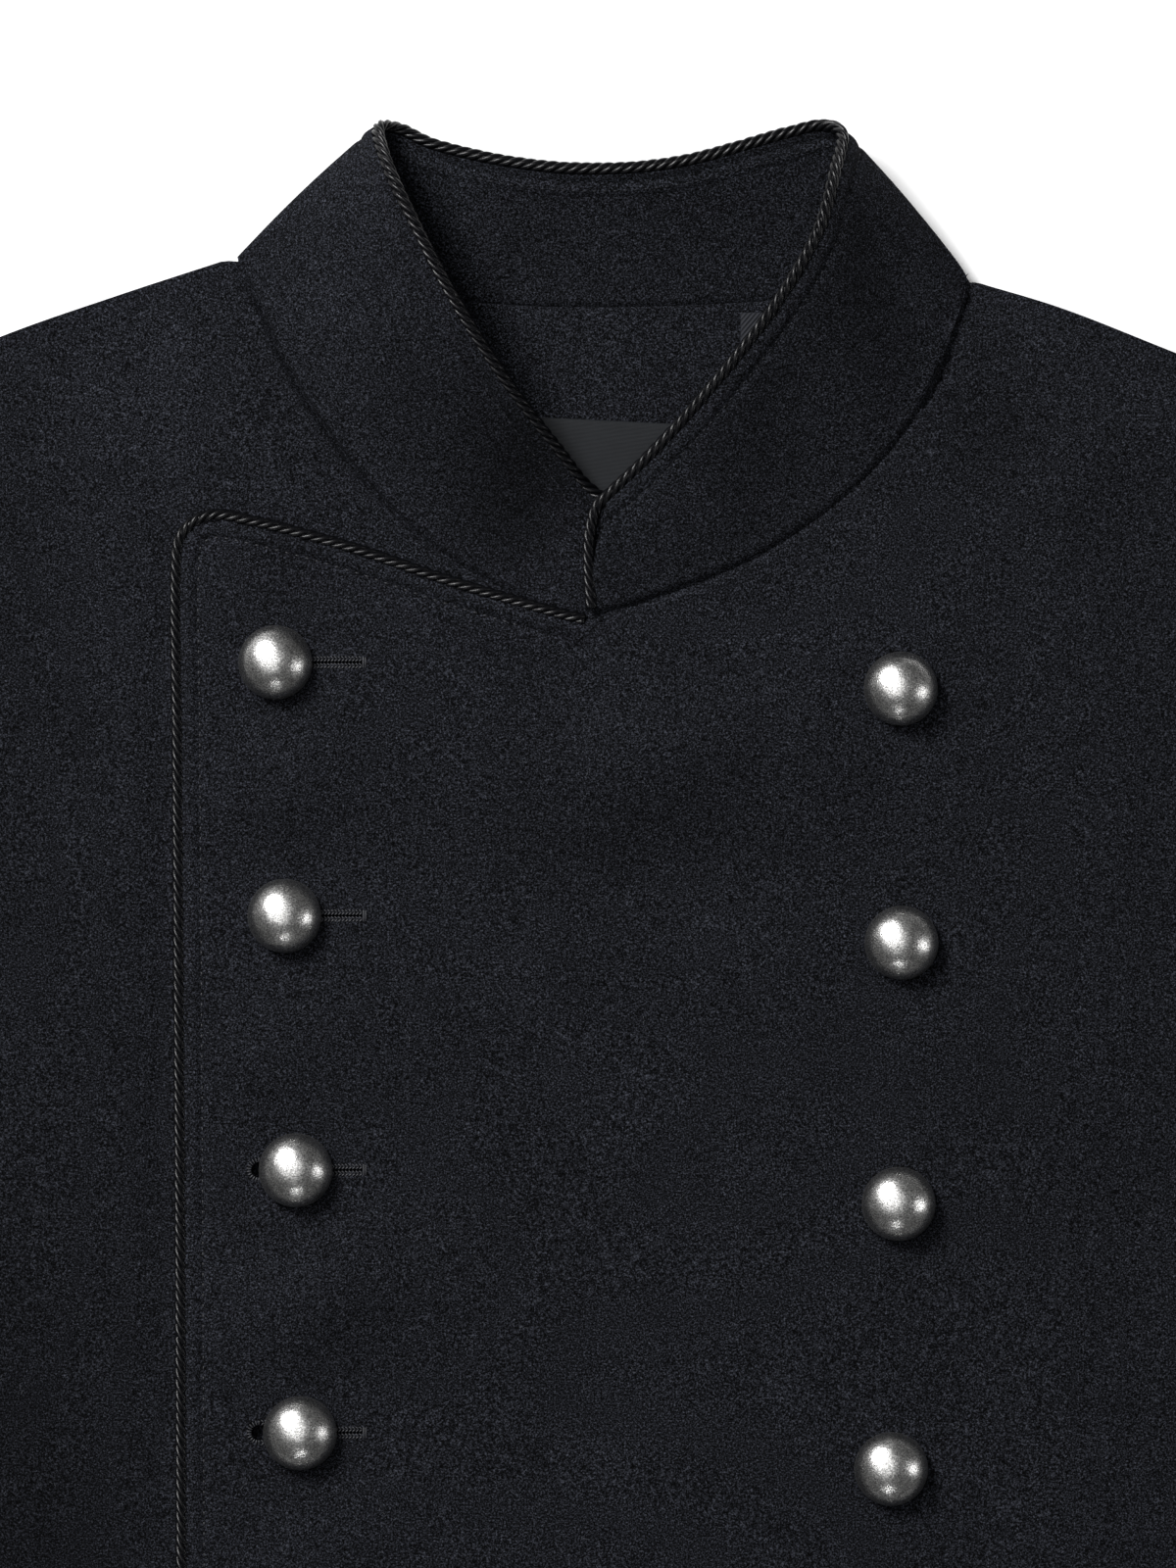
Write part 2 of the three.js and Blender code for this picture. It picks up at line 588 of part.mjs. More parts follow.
// Piping: a twisted cord along the collar's edge and another along the overlapping front's. The cord
// takes a step at each of its points, so that they can lie closer together in a bend.
class CordPath extends THREE.CatmullRomCurve3 {
  getPointAt(u, target) {
    return this.getPoint(u, target);
  }

  getTangentAt(u, target) {
    return this.getTangent(u, target);
  }
}
function cord(points) {
  const section = new THREE.Shape();
  const corners = evenly(CORD_SIDES).slice(0, -1).map((t) => 2 * Math.PI * t);
  section.setFromPoints(corners.map((angle) =>
    new THREE.Vector2(Math.cos(angle), Math.sin(angle)).multiplyScalar(CORD_DIAMETER / 2)));
  const extrudePath = new CordPath(points, false, 'centripetal');
  return new THREE.ExtrudeGeometry(section, { steps: points.length - 1, extrudePath, bevelEnabled: false });
}
const rayon = () => material(0x0b0b0d, 0.35);
const collarCordRows = [...collarStations, ROWS.last].map((row) => atRow(collarTop, row));
addPiece('piping_collar', cord([...collarCordRows, ...COLLAR_END_CORD.map(toVector)]), rayon());

const CORNER_SPAN = 0.03;
const flapCordShares = joined(
  between(0, cornerShare - CORNER_SPAN, STEPS.cordSide),
  between(cornerShare - CORNER_SPAN, cornerShare + CORNER_SPAN, STEPS.cordCorner),
  between(cornerShare + CORNER_SPAN, 1, STEPS.cordTop),
);
const flapCordRows = flapCordShares.map((share) => {
  const point = flapCurve.getPointAt(share);
  return point.setZ(upperFrontLevel(point) + CLOTH / 2 + CORD_LIFT);
});
addPiece('piping_front', cord(flapCordRows), rayon());

// Buttons: a metal dome on a short shank
const BUTTON_SEAT = 0.8;
const DOME = { sides: 14, rings: 4, rim: 1.6 };
function button(shankLength) {
  const radius = BUTTON_DIAMETER / 2;
  const profile = [
    [0, -shankLength],
    [SHANK_RADIUS, -shankLength],
    [SHANK_RADIUS, 0],
    [radius - DOME.rim / 2, 0],
    [radius, DOME.rim],
  ];
  for (let k = 1; k <= DOME.rings; k += 1) {
    const angle = (k / DOME.rings) * (Math.PI / 2);
    const across = k === DOME.rings ? 0 : radius * Math.cos(angle);
    profile.push([across, DOME.rim + (BUTTON_HEIGHT - DOME.rim) * Math.sin(angle)]);
  }
  const geometry = new THREE.LatheGeometry(profile.map(([x, y]) => new THREE.Vector2(x, y)), DOME.sides);
  return geometry.rotateX(Math.PI / 2);
}
function addButton(name, { x, y }, shankFoot) {
  const seat = upperFrontLevel({ x, y }) + CLOTH + BUTTON_SEAT;
  const geometry = button(seat - shankFoot).translate(x, y, seat);
  addPiece(name, geometry, material(0xb9bbbf, 0.32, 1));
}
FASTENED_BUTTONS.forEach((place, i) => {
  addButton(`button_fastened_${i + 1}`, place, lowerFrontLevel(place) + CLOTH + SEAM_GAP);
});
SHOW_BUTTONS.forEach((place, i) => {
  addButton(`button_show_${i + 1}`, place, upperFrontLevel(place) + CLOTH + SEAM_GAP);
});

export default jacket;
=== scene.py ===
import itertools
import math
import random

import bmesh
import bpy
import numpy as np
from mathutils import Matrix, Vector


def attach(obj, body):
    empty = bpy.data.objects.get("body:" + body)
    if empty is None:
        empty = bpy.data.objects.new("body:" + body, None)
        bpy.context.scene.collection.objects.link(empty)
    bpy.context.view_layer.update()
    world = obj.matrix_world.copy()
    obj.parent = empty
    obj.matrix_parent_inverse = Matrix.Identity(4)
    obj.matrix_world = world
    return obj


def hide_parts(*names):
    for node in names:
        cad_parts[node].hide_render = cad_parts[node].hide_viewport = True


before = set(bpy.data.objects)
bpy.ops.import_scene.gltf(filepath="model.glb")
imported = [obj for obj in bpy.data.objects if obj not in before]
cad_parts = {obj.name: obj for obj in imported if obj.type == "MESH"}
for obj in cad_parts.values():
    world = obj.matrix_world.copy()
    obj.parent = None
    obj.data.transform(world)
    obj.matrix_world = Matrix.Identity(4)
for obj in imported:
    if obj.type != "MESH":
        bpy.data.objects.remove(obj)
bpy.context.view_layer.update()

# Back
# One panel of heavy black-navy wool melton, lying flat on the surface with its right side down.
# It is cut along the sides, armholes, shoulders and neck, and sewn to the fronts and the collar there.
CLOTH = 0.0024
SEAM_TUCK = 0.0012
SEAM_DIP = 0.0011
SEAM_DIP_WIDTH = 0.0009
SEAM_DIP_LESSENS = 7
SEAM_ROLL = 0.0003
SEAM_ROLL_WIDTH = 0.0025
CUT_ROUNDING = 0.0008
CUT_ANGLE = math.radians(50)
WOOL_COLOR = (0.0422, 0.0454, 0.0580)
HEM_Y = -0.25
HEM_HALF_WIDTH = 0.245
UNDERARM_SHARE = 0.52
NECK_CENTRE = np.array([0, 0.205])
SIDE = [(0.245, HEM_Y), (0.246, -0.125), (0.25, 0)]
ARMHOLE = [(0.25, 0), (0.224, 0.034), (0.21, 0.09), (0.212, 0.15)]
SHOULDER_LEFT_SIDE = [(0.1038, 0.246), (0.1256, 0.2394), (0.1573, 0.227), (0.22, 0.202)]
SHOULDER_RIGHT_SIDE = [(-0.1015, 0.252), (-0.1308, 0.2424), (-0.1628, 0.2311), (-0.22, 0.206)]

# Neck seam from the right front's end, round the back, to the left front's end: x and y
NECK_SEAM = [
    (0.0035, 0.154),
    (-0.0091, 0.1559),
    (-0.0211, 0.1607),
    (-0.0451, 0.1749),
    (-0.0659, 0.1962),
    (-0.0825, 0.2208),
    (-0.0926, 0.2427),
    (-0.0968, 0.2523),
    (-0.0885, 0.2499),
    (-0.0707, 0.246),
    (-0.0238, 0.2404),
    (0.027, 0.2404),
    (0.0739, 0.2436),
    (0.0923, 0.2456),
    (0.1003, 0.2469),
    (0.0982, 0.236),
    (0.0883, 0.2127),
    (0.0696, 0.19),
    (0.0429, 0.1713),
    (0.0149, 0.1599),
    (-0.0012, 0.1548),
]
RIGHT_FOLD_ROW = 7
LEFT_FOLD_ROW = 14
COLLAR_END_ROW = 19.84
LAST_ROW = len(NECK_SEAM) - 1


def read_off(at, stations, points):
    return np.stack([np.interp(at, stations, points[:, k]) for k in range(3)], -1)


class Line:
    """A smooth line through the points of a table, read by row or by share of its length."""

    def __init__(self, points, steps=40):
        points = np.array([(*point, 0)[:3] for point in points], float)
        self.held = np.vstack([2 * points[0] - points[1], points, 2 * points[-1] - points[-2]])
        self.last = len(points) - 1
        self.fine = self.at_row(np.linspace(0, self.last, steps * self.last + 1))
        lengths = np.linalg.norm(np.diff(self.fine, axis=0), axis=1)
        self.reached = np.concatenate([[0], np.cumsum(lengths)])
        self.length = self.reached[-1]

    def at_row(self, row):
        row = np.atleast_1d(np.asarray(row, float))
        start = np.clip(row.astype(int), 0, self.last - 1)
        t = (row - start)[:, None]
        a, b, c, d = (self.held[start + k] for k in range(4))
        pairs = ((a, b), (b, c), (c, d))
        ab, bc, cd = (np.linalg.norm(q - p, axis=1, keepdims=True) ** 0.5 for p, q in pairs)
        leave = ((b - a) / ab - (c - a) / (ab + bc) + (c - b) / bc) * bc
        arrive = ((c - b) / bc - (d - b) / (bc + cd) + (d - c) / cd) * bc
        return (
            b + leave * t
            + (3 * (c - b) - 2 * leave - arrive) * t ** 2
            + (2 * (b - c) + leave + arrive) * t ** 3
        )

    def along(self, share):
        return read_off(np.atleast_1d(share) * self.length, self.reached, self.fine)

    def share_of_row(self, row):
        return np.interp(row, np.linspace(0, self.last, len(self.fine)), self.reached) / self.length


def unit(vectors):
    return vectors / np.linalg.norm(vectors, axis=1, keepdims=True)


def either_side(at, step, last=1):
    return np.minimum(at + step, last), np.maximum(at - step, 0)


def mirrored(rows):
    return [(-x, y) for x, y in rows]


def denser_at_start(t):
    return (t + 1 - np.cos(t * math.pi / 2)) / 2


def joined(parts, *breaks):
    """One edge made of several parts, which meet at the breaks."""
    def at(share):
        points = np.zeros((len(share), 3))
        for part, low, high in zip(parts, (0, *breaks), (*breaks, 1)):
            here = (share >= low) & (share <= high)
            points[here] = part((share[here] - low) / (high - low))
        return points
    return at


def filled_in(bottom, top, left, right, u, v):
    """Points inside four edges: u is the share along bottom and top, v the share up the sides."""
    across, up = u[:, None], v[:, None]
    start, end = np.zeros(1), np.ones(1)
    points = bottom(u) * (1 - up) + top(u) * up + left(v) * (1 - across) + right(v) * across
    points -= bottom(start) * (1 - across) * (1 - up) + bottom(end) * across * (1 - up)
    points -= top(start) * (1 - across) * up + top(end) * across * up
    return points


def straight(start, end):
    return lambda share: start + (np.asarray(end) - start) * share[:, None]


def cloth_grid(columns, rows, place, flipped=False):
    """A grid of cloth whose points are set out by place(u, v)."""
    mesh = bmesh.new()
    bmesh.ops.create_grid(mesh, x_segments=columns, y_segments=rows, size=0.5)
    shares = np.array([vert.co[:2] for vert in mesh.verts]) + 0.5
    for vert, point in zip(mesh.verts, place(shares[:, 0], shares[:, 1])):
        vert.co = point
    if flipped:
        bmesh.ops.reverse_faces(mesh, faces=mesh.faces)
    return mesh


def weld(mesh, within=0.00001):
    bmesh.ops.remove_doubles(mesh, verts=mesh.verts, dist=within)
    bmesh.ops.recalc_face_normals(mesh, faces=mesh.faces)


def in_scene(name, data):
    thing = bpy.data.objects.new(name, data)
    bpy.context.scene.collection.objects.link(thing)
    return thing


def set_down(name, mesh, *materials):
    """A finished bmesh as an object of the scene, smooth all over."""
    data = bpy.data.meshes.new(name)
    for face in mesh.faces:
        face.smooth = True
    mesh.to_mesh(data)
    mesh.free()
    for material in materials:
        data.materials.append(material)
    return in_scene(name, data)


def evaluated_mesh(thing):
    return bpy.data.meshes.new_from_object(thing.evaluated_get(bpy.context.evaluated_depsgraph_get()))


def finished(piece):
    """The same piece with its modifiers applied."""
    made = evaluated_mesh(piece)
    piece.modifiers.clear()
    piece.data = made
    return piece


def with_rounded_edges(piece, rounding=CUT_ROUNDING):
    edge = piece.modifiers.new("rounded_edge", "BEVEL")
    edge.width = rounding
    edge.segments = 2
    edge.limit_method = "ANGLE"
    edge.angle_limit = CUT_ANGLE
    return finished(piece)


def with_thickness(piece, thickness=CLOTH, rounding=CUT_ROUNDING):
    """The wall of the cloth under its outer face, with rounded cut edges."""
    wall = piece.modifiers.new("wall", "SOLIDIFY")
    wall.thickness = thickness
    wall.offset = -1
    return with_rounded_edges(piece, rounding)


def part_of_jacket(piece, slot, *nodes):
    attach(piece, "root")
    if nodes:
        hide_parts(*nodes)


class Nodes:
    """A material's nodes, added one after another."""

    def __init__(self, name, **shader):
        self.material = bpy.data.materials.new(name)
        self.material.use_nodes = True
        self.tree = self.material.node_tree
        self.shader = self.tree.nodes["Principled BSDF"]
        for socket, value in shader.items():
            self.shader.inputs[socket.replace("_", " ")].default_value = value

    def add(self, kind, inputs=(), **settings):
        node = self.tree.nodes.new("ShaderNode" + kind)
        for key, value in settings.items():
            setattr(node, key, value)
        for key, value in dict(inputs).items():
            if isinstance(value, bpy.types.NodeSocket):
                self.tree.links.new(value, node.inputs[key])
            else:
                node.inputs[key].default_value = value
        return node

    def place(self, scale=(1, 1, 1), turn=(0, 0, 0), source="Object"):
        inputs = {"Vector": self.add("TexCoord").outputs[source], "Scale": scale, "Rotation": turn}
        return self.add("Mapping", inputs).outputs["Vector"]

    def noise(self, where, scale, detail=2.0, roughness=0.5):
        inputs = {"Vector": where, "Scale": scale, "Detail": detail, "Roughness": roughness}
        return self.add("TexNoise", inputs).outputs["Fac"]

    def remap(self, value, new_low, new_high, low=0.3, high=0.7):
        inputs = {"Value": value, "From Min": low, "From Max": high, "To Min": new_low, "To Max": new_high}
        return self.add("MapRange", inputs).outputs["Result"]

    def math(self, operation, first, second=0.5):
        return self.add("Math", {0: first, 1: second}, operation=operation).outputs[0]

    def tinted(self, color, amount):
        """The colour times the amount, a number that varies over the surface."""
        node = self.add("VectorMath", {0: color}, operation="SCALE")
        self.tree.links.new(amount, node.inputs["Scale"])
        return node.outputs["Vector"]

    def bump(self, height, distance, strength=1.0, before=None):
        inputs = {"Height": height, "Distance": distance, "Strength": strength}
        if before is not None:
            inputs["Normal"] = before
        return self.add("Bump", inputs).outputs["Normal"]

    def link(self, output, socket):
        self.tree.links.new(output, self.shader.inputs[socket])


def melton():
    """Fulled wool: a felted pile of fine fibres with lighter ends, with light and shade painted into its
    colour, darker or lighter where its point attribute says so.
    """
    cloth = Nodes("melton", Roughness=0.95, Specular_IOR_Level=0.06)
    where = cloth.place()
    clumps = cloth.noise(where, scale=1300, detail=2, roughness=0.6)
    fibres = cloth.noise(where, scale=2150, detail=3, roughness=0.8)
    mottle = cloth.noise(where, scale=45, detail=3, roughness=0.55)
    tips = cloth.math("POWER", cloth.remap(fibres, 0, 1, 0.4, 0.66), 2.3)
    speckle = cloth.math("MULTIPLY", cloth.remap(clumps, 0.4, 1.6), tips)
    # Light and shade painted into the colour, from a point attribute set piece by piece.
    painted_shading = cloth.math("ADD", cloth.add("Attribute", attribute_name="painted_light_and_shade").outputs["Fac"], 1)
    mottle_and_painted_shading = cloth.math("MULTIPLY", cloth.remap(mottle, 0.9, 1.1), painted_shading)
    cloth.link(cloth.tinted(WOOL_COLOR, cloth.math("MULTIPLY", speckle, mottle_and_painted_shading)), "Base Color")
    felted = cloth.bump(clumps, distance=0.00012, strength=0.9)
    cloth.link(cloth.bump(fibres, distance=0.00008, strength=0.9, before=felted), "Normal")
    return cloth.material


wool = melton()
side_left, side_right = Line(SIDE), Line(mirrored(SIDE))
armhole_left = Line([*ARMHOLE, SHOULDER_LEFT_SIDE[-1]])
armhole_right = Line([*mirrored(ARMHOLE), SHOULDER_RIGHT_SIDE[-1]])
shoulder_left, shoulder_right = Line(SHOULDER_LEFT_SIDE), Line(SHOULDER_RIGHT_SIDE)
neck_in_plan = Line(NECK_SEAM)
outer_left = joined([side_left.along, armhole_left.along], UNDERARM_SHARE)
outer_right = joined([side_right.along, armhole_right.along], UNDERARM_SHARE)


def neck_edge(from_row, to_row, set_off, count=24):
    """The panels' neck edge, set off outward from the neck seam, or towards the neck if less than nothing."""
    points = neck_in_plan.at_row(np.linspace(from_row, to_row, count))
    points[:, :2] += unit(points[:, :2] - NECK_CENTRE) * set_off
    return points


def down_right_shoulder(t):
    return shoulder_right.along(denser_at_start(1 - t))


def down_left_shoulder(t):
    return shoulder_left.along(denser_at_start(t))


def hem_share(x, start, end):
    return (x - start) / (end - start)


def back_points(u, v):
    neck = Line([
        shoulder_right.fine[0],
        *neck_edge(RIGHT_FOLD_ROW + 1, LEFT_FOLD_ROW - 1, SEAM_TUCK),
        shoulder_left.fine[0],
    ])
    top = joined(
        [down_right_shoulder, neck.along, down_left_shoulder],
        hem_share(SHOULDER_RIGHT_SIDE[0][0], -HEM_HALF_WIDTH, HEM_HALF_WIDTH),
        hem_share(SHOULDER_LEFT_SIDE[0][0], -HEM_HALF_WIDTH, HEM_HALF_WIDTH),
    )
    hem = straight((-HEM_HALF_WIDTH, HEM_Y, 0), (HEM_HALF_WIDTH, HEM_Y, 0))
    points = filled_in(hem, top, outer_right, outer_left, u, v)
    points[:, 2] = CLOTH
    return points


back = with_thickness(set_down("back_panel", cloth_grid(110, 110, back_points), wool))
part_of_jacket(back, "wool", "back")

# Front beneath
# The wearer's right front, sewn to the back and lying on it. Its free edge runs up under the other front,
# and the cloth rises in soft swells between the seams, which hold it down.
SEAM_GAP = 0.0003
FRONT_SEAM_LEVEL = CLOTH + SEAM_GAP
FRONT_LIFT = 0.0005
NECK_LIFT = 0.0026
NECK_PLATEAU_FULL = 0.088
NECK_PLATEAU_GONE = 0.165
EDGE_ROLL = 0.025
HEM_ROLL = 0.045
CORD_RADIUS = 0.00182
CORD_COVER = 0.00115
# Least and most of the light and shade painted into the wool's colour
PAINTED_SHADING_LIMITS = (-0.5, 0.3)
RIGHT_NECK_CROWD = (0.12, 0.018)
FOLD_CLEAR = 0.05
HIDDEN_EDGE_EASE = 6

# Soft swells of the laid fronts: x, y, half length along, half width across, turn and rise
SWELLS = [
    (-0.05, 0.135, 0.046, 0.022, 0.2, 0.0015),
    (0.055, 0.118, 0.06, 0.026, 0.35, 0.0013),
    (0.004, 0.07, 0.07, 0.024, -0.1, 0.0017),
    (-0.05, 0.038, 0.026, 0.034, 0, 0.001),
    (0.045, 0.01, 0.08, 0.04, 0.3, 0.0011),
    (-0.048, -0.032, 0.028, 0.034, 0, 0.001),
    (-0.01, -0.11, 0.09, 0.045, 0.1, 0.0012),
    (-0.165, 0.12, 0.03, 0.08, 0.15, 0.0016),
    (-0.155, -0.02, 0.028, 0.09, -0.05, 0.0011),
    (0.15, 0.11, 0.034, 0.08, -0.2, 0.0017),
    (0.165, -0.06, 0.036, 0.1, 0.05, 0.0012),
    (-0.15, 0.205, 0.04, 0.014, -0.35, 0.0012),
    (0.14, 0.2, 0.044, 0.014, 0.35, 0.0014),
    (0.012, 0.119, 0.038, 0.014, 0.1, 0.0036),
    (0.016, 0.083, 0.038, 0.013, 0.1, -0.0021),
    (-0.0155, 0.136, 0.02, 0.0075, -0.75, -0.0036),
    (-0.082, 0.1095, 0.024, 0.013, 0.2, 0.0027),
    (-0.08, 0.0405, 0.022, 0.013, 0.2, 0.0021),
    (-0.075, -0.03, 0.028, 0.014, 0.35, 0.003),
    (-0.076, -0.101, 0.026, 0.014, 0.2, 0.0022),
    (-0.1185, 0.03, 0.2, 0.0045, 1.57, -0.0009),
    (0.112, 0.2, 0.014, 0.012, 0.5, -0.0016),
]

# Middle of the cord along the overlapping front's edge: x and y, from the hem round the corner to the neck
FLAP_EDGE = [
    (-0.112, HEM_Y),
    (-0.1128, -0.023),
    (-0.1136, 0.12),
    (-0.1139, 0.168),
    (-0.1129, 0.1765),
    (-0.1092, 0.1809),
    (-0.1035, 0.1828),
    (-0.0949, 0.1815),
    (-0.0677, 0.1743),
    (-0.0405, 0.1651),
    (-0.0131, 0.1569),
    (-0.0034, 0.1543),
]
FLAP_CORNER_ROW = 5
SHARE_STEP = 0.001
flap_line = Line(FLAP_EDGE)
flap_corner = flap_line.share_of_row(FLAP_CORNER_ROW)


def flap_inward(share):
    ahead, behind = either_side(share, SHARE_STEP)
    along = unit(flap_line.along(ahead) - flap_line.along(behind))
    return np.stack([along[:, 1], -along[:, 0], 0 * share], -1)


def flap_cloth(share):
    """The cloth's turned edge, which the cord half covers."""
    return flap_line.along(share) + flap_inward(share) * CORD_COVER


def from_line(points, line):
    """How far each point is from a line of points, seen from above."""
    nearest = np.full(len(points), 1e9)
    for start, end in zip(line[:-1, :2], line[1:, :2]):
        step = end - start
        t = np.clip(((points[:, :2] - start) @ step) / (step @ step), 0, 1)
        nearest = np.minimum(nearest, np.linalg.norm(points[:, :2] - start - t[:, None] * step, axis=1))
    return nearest


def sewn_side(side, armhole, shoulder):
    shares = np.linspace(0, 1, 16)
    return np.vstack([side.along(shares), armhole.along(shares[1:]), shoulder.along(shares[::-1][1:])])


sewn_left = sewn_side(side_left, armhole_left, shoulder_left)
sewn_right = sewn_side(side_right, armhole_right, shoulder_right)


def roll_over(distance, reach):
    return 1 - (1 - np.minimum(distance / reach, 1)) ** 2


def smooth(t):
    t = np.clip(t, 0, 1)
    return t * t * (3 - 2 * t)


def swell(rows, points):
    height = np.zeros(len(points))
    for x, y, long, wide, turn, rise in rows:
        dx, dy = points[:, 0] - x, points[:, 1] - y
        along = (dx * math.cos(turn) + dy * math.sin(turn)) / long
        across = (dy * math.cos(turn) - dx * math.sin(turn)) / wide
        height += rise * np.exp(-along ** 2 - across ** 2)
    return height


def lower_level(points):
    """Height of the underside of the front beneath."""
    seams = np.minimum(from_line(points, sewn_left), from_line(points, sewn_right))
    roll = roll_over(seams, EDGE_ROLL) * roll_over(points[:, 1] - HEM_Y, HEM_ROLL)
    from_neck = np.linalg.norm(points[:, :2] - NECK_CENTRE, axis=1)
    neck = smooth((NECK_PLATEAU_GONE - from_neck) / (NECK_PLATEAU_GONE - NECK_PLATEAU_FULL))
    return FRONT_SEAM_LEVEL + (FRONT_LIFT + NECK_LIFT * neck + swell(SWELLS, points)) * roll


def level_at(level, x, y):
    return level(np.array([(x, y, 0)]))[0]


neck_seam_line = neck_in_plan.at_row(np.linspace(0, LAST_ROW, 140))


def crowded(share, crowd, part):
    """Shares of an edge, with the first crowd of its columns drawn into the first small part of it."""
    return np.where(
        share < crowd,
        share / crowd * part,
        part + (share - crowd) / (1 - crowd) * (1 - part),
    )


def seam_dip(distance, x):
    """How far the seam draws the cloth down, deepest on the right, less the cloth's swell beside it."""
    drawn = SEAM_DIP * (1 - SEAM_DIP_LESSENS * x) * np.exp(-(distance / SEAM_DIP_WIDTH) ** 2)
    return drawn - SEAM_ROLL * np.exp(-((distance - SEAM_ROLL_WIDTH) / SEAM_ROLL_WIDTH * 2) ** 2)


def round_neck(points):
    """The way from the middle of the neck to each point, and how far it is."""
    reach = points[:, :2] - NECK_CENTRE
    return np.arctan2(reach[:, 0], -reach[:, 1]), np.linalg.norm(reach, axis=1)


def from_neck_seam(points):
    """How far each point is from the neck seam, or 0 under the collar."""
    ways, reaches = round_neck(neck_seam_line)
    order = np.argsort(ways)
    way, reach = round_neck(points)
    outside = reach > np.interp(way, ways[order], reaches[order])
    return np.where(outside, from_line(points, neck_seam_line), 0)


def paint_light_and_shade(piece, patches):
    """Sets a point attribute that paints light and shade into the wool's colour: how much lighter it is
    painted, or darker where it is less than nothing.
    """
    co = np.array([vert.co for vert in piece.data.vertices])
    painted_light_and_shade = piece.data.attributes.new("painted_light_and_shade", "FLOAT", "POINT")
    painted_light_and_shade.data.foreach_set("value", np.clip(swell(patches, co), *PAINTED_SHADING_LIMITS).astype(np.float32))


def right_front_points(u, v):
    v = 1 - crowded(1 - v, *RIGHT_NECK_CROWD)
    neck = Line([*neck_edge(0, RIGHT_FOLD_ROW - FOLD_CLEAR, -SEAM_TUCK), shoulder_right.fine[0]])
    free_x = -flap_cloth(np.zeros(1))[0, 0]
    turned = np.array([-1, 1, 1])

    def hidden_top(t):
        points = flap_cloth(flap_corner + (1 - t) * (1 - flap_corner)) * turned
        start = flap_cloth(np.ones(1)) * turned
        return points + (neck.fine[0] - start) * (1 - t[:, None]) ** HIDDEN_EDGE_EASE

    top = joined(
        [down_right_shoulder, lambda t: neck.along(1 - t), hidden_top],
        hem_share(SHOULDER_RIGHT_SIDE[0][0], -HEM_HALF_WIDTH, free_x),
        hem_share(0, -HEM_HALF_WIDTH, free_x),
    )
    hem = straight((-HEM_HALF_WIDTH, HEM_Y, 0), (free_x, HEM_Y, 0))
    points = filled_in(hem, top, outer_right, lambda t: flap_cloth(t * flap_corner) * turned, u, v)
    points[:, 2] = lower_level(points) + CLOTH - seam_dip(from_neck_seam(points), points[:, 0])
    return points


# Light and shade painted into the wool's colour, darkest towards the lower left of the front beneath: x, y,
# half length, half width, turn and how much lighter
RIGHT_PAINTED_SHADING = [
    (-0.17, -0.11, 0.12, 0.045, 1.57, -0.4),
    (-0.165, 0.15, 0.08, 0.022, 1.57, -0.15),
    (-0.12, 0.215, 0.03, 0.02, 0.9, 0.15),
]
right_front = with_thickness(set_down("right_front", cloth_grid(150, 180, right_front_points), wool))
paint_light_and_shade(right_front, RIGHT_PAINTED_SHADING)
part_of_jacket(right_front, "wool", "front_under")

# Overlapping front
# The wearer's left front, laid over the other and fastened down its left column of buttons. Its edge is
# turned and topstitched, and a keyhole buttonhole is cut for each fastened button.
LAYER_STEP = CLOTH + 0.0008
HIDDEN_EDGE_X = 0.118
STEP_WIDTH = 0.046
SHOULDER_STEP = 0.03
TOPSTITCH_IN = 0.0049
STITCH_GROOVE = 0.00055
STITCH_GROOVE_WIDTH = 0.0008
EDGE_RIDGE = 0.0005
EDGE_RIDGE_IN = 0.0024
EDGE_RIDGE_WIDTH = 0.0014
FASTENED_BUTTONS = [
    (-0.087, 0.1429),
    (-0.0846, 0.0743),
    (-0.0816, 0.0054),
    (-0.0804, -0.0658),
    (-0.0792, -0.1371),
]
EYELET_X = -0.0916
EYELET_RADIUS = 0.0022
SHANK_ROOM = 0.0015
NARROW_FROM = 0.004
SLIT_END_X = -0.0635
SLIT_HALF_WIDTH = 0.00035
CUTTER_HEIGHT = 0.03
FLAP_EDGE_CROWD = (0.11, 0.036)
LEFT_NECK_CROWD = (0.13, 0.018)
flap_cloth_line = flap_cloth(np.linspace(0, 1, 260))


def upper_level(points):
    """Height of the underside of the overlapping front, which steps down beyond the front beneath."""
    past = smooth((HIDDEN_EDGE_X + STEP_WIDTH - points[:, 0]) / STEP_WIDTH)
    from_shoulder = roll_over(from_line(points, shoulder_left.along(np.linspace(0, 1, 24))), SHOULDER_STEP)
    return lower_level(points) + LAYER_STEP * past * from_shoulder


def stitched_edge(inside):
    """The turned edge's ridge and the groove that its topstitching pulls, by the distance from the edge."""
    ridge = EDGE_RIDGE * np.exp(-((inside - EDGE_RIDGE_IN) / EDGE_RIDGE_WIDTH) ** 2)
    groove = -STITCH_GROOVE * np.exp(-((inside - TOPSTITCH_IN) / STITCH_GROOVE_WIDTH) ** 2)
    return ridge + groove


def left_front_points(u, v):
    u = crowded(u, *FLAP_EDGE_CROWD)
    v = 1 - crowded(1 - v, *LEFT_NECK_CROWD)
    free_x = flap_cloth(np.zeros(1))[0, 0]
    neck = Line([
        flap_cloth(np.ones(1))[0],
        *neck_edge(COLLAR_END_ROW, LEFT_FOLD_ROW + FOLD_CLEAR, -SEAM_TUCK),
        shoulder_left.fine[0],
    ])
    top = joined(
        [lambda t: flap_cloth(flap_corner + t * (1 - flap_corner)), neck.along, down_left_shoulder],
        hem_share(0, free_x, HEM_HALF_WIDTH),
        hem_share(SHOULDER_LEFT_SIDE[0][0], free_x, HEM_HALF_WIDTH),
    )
    hem = straight((free_x, HEM_Y, 0), (HEM_HALF_WIDTH, HEM_Y, 0))
    points = filled_in(hem, top, lambda t: flap_cloth(t * flap_corner), outer_left, u, v)
    inside = from_line(points, flap_cloth_line)
    points[:, 2] = upper_level(points) + CLOTH + stitched_edge(inside)
    points[:, 2] -= seam_dip(from_neck_seam(points), points[:, 0])
    return points


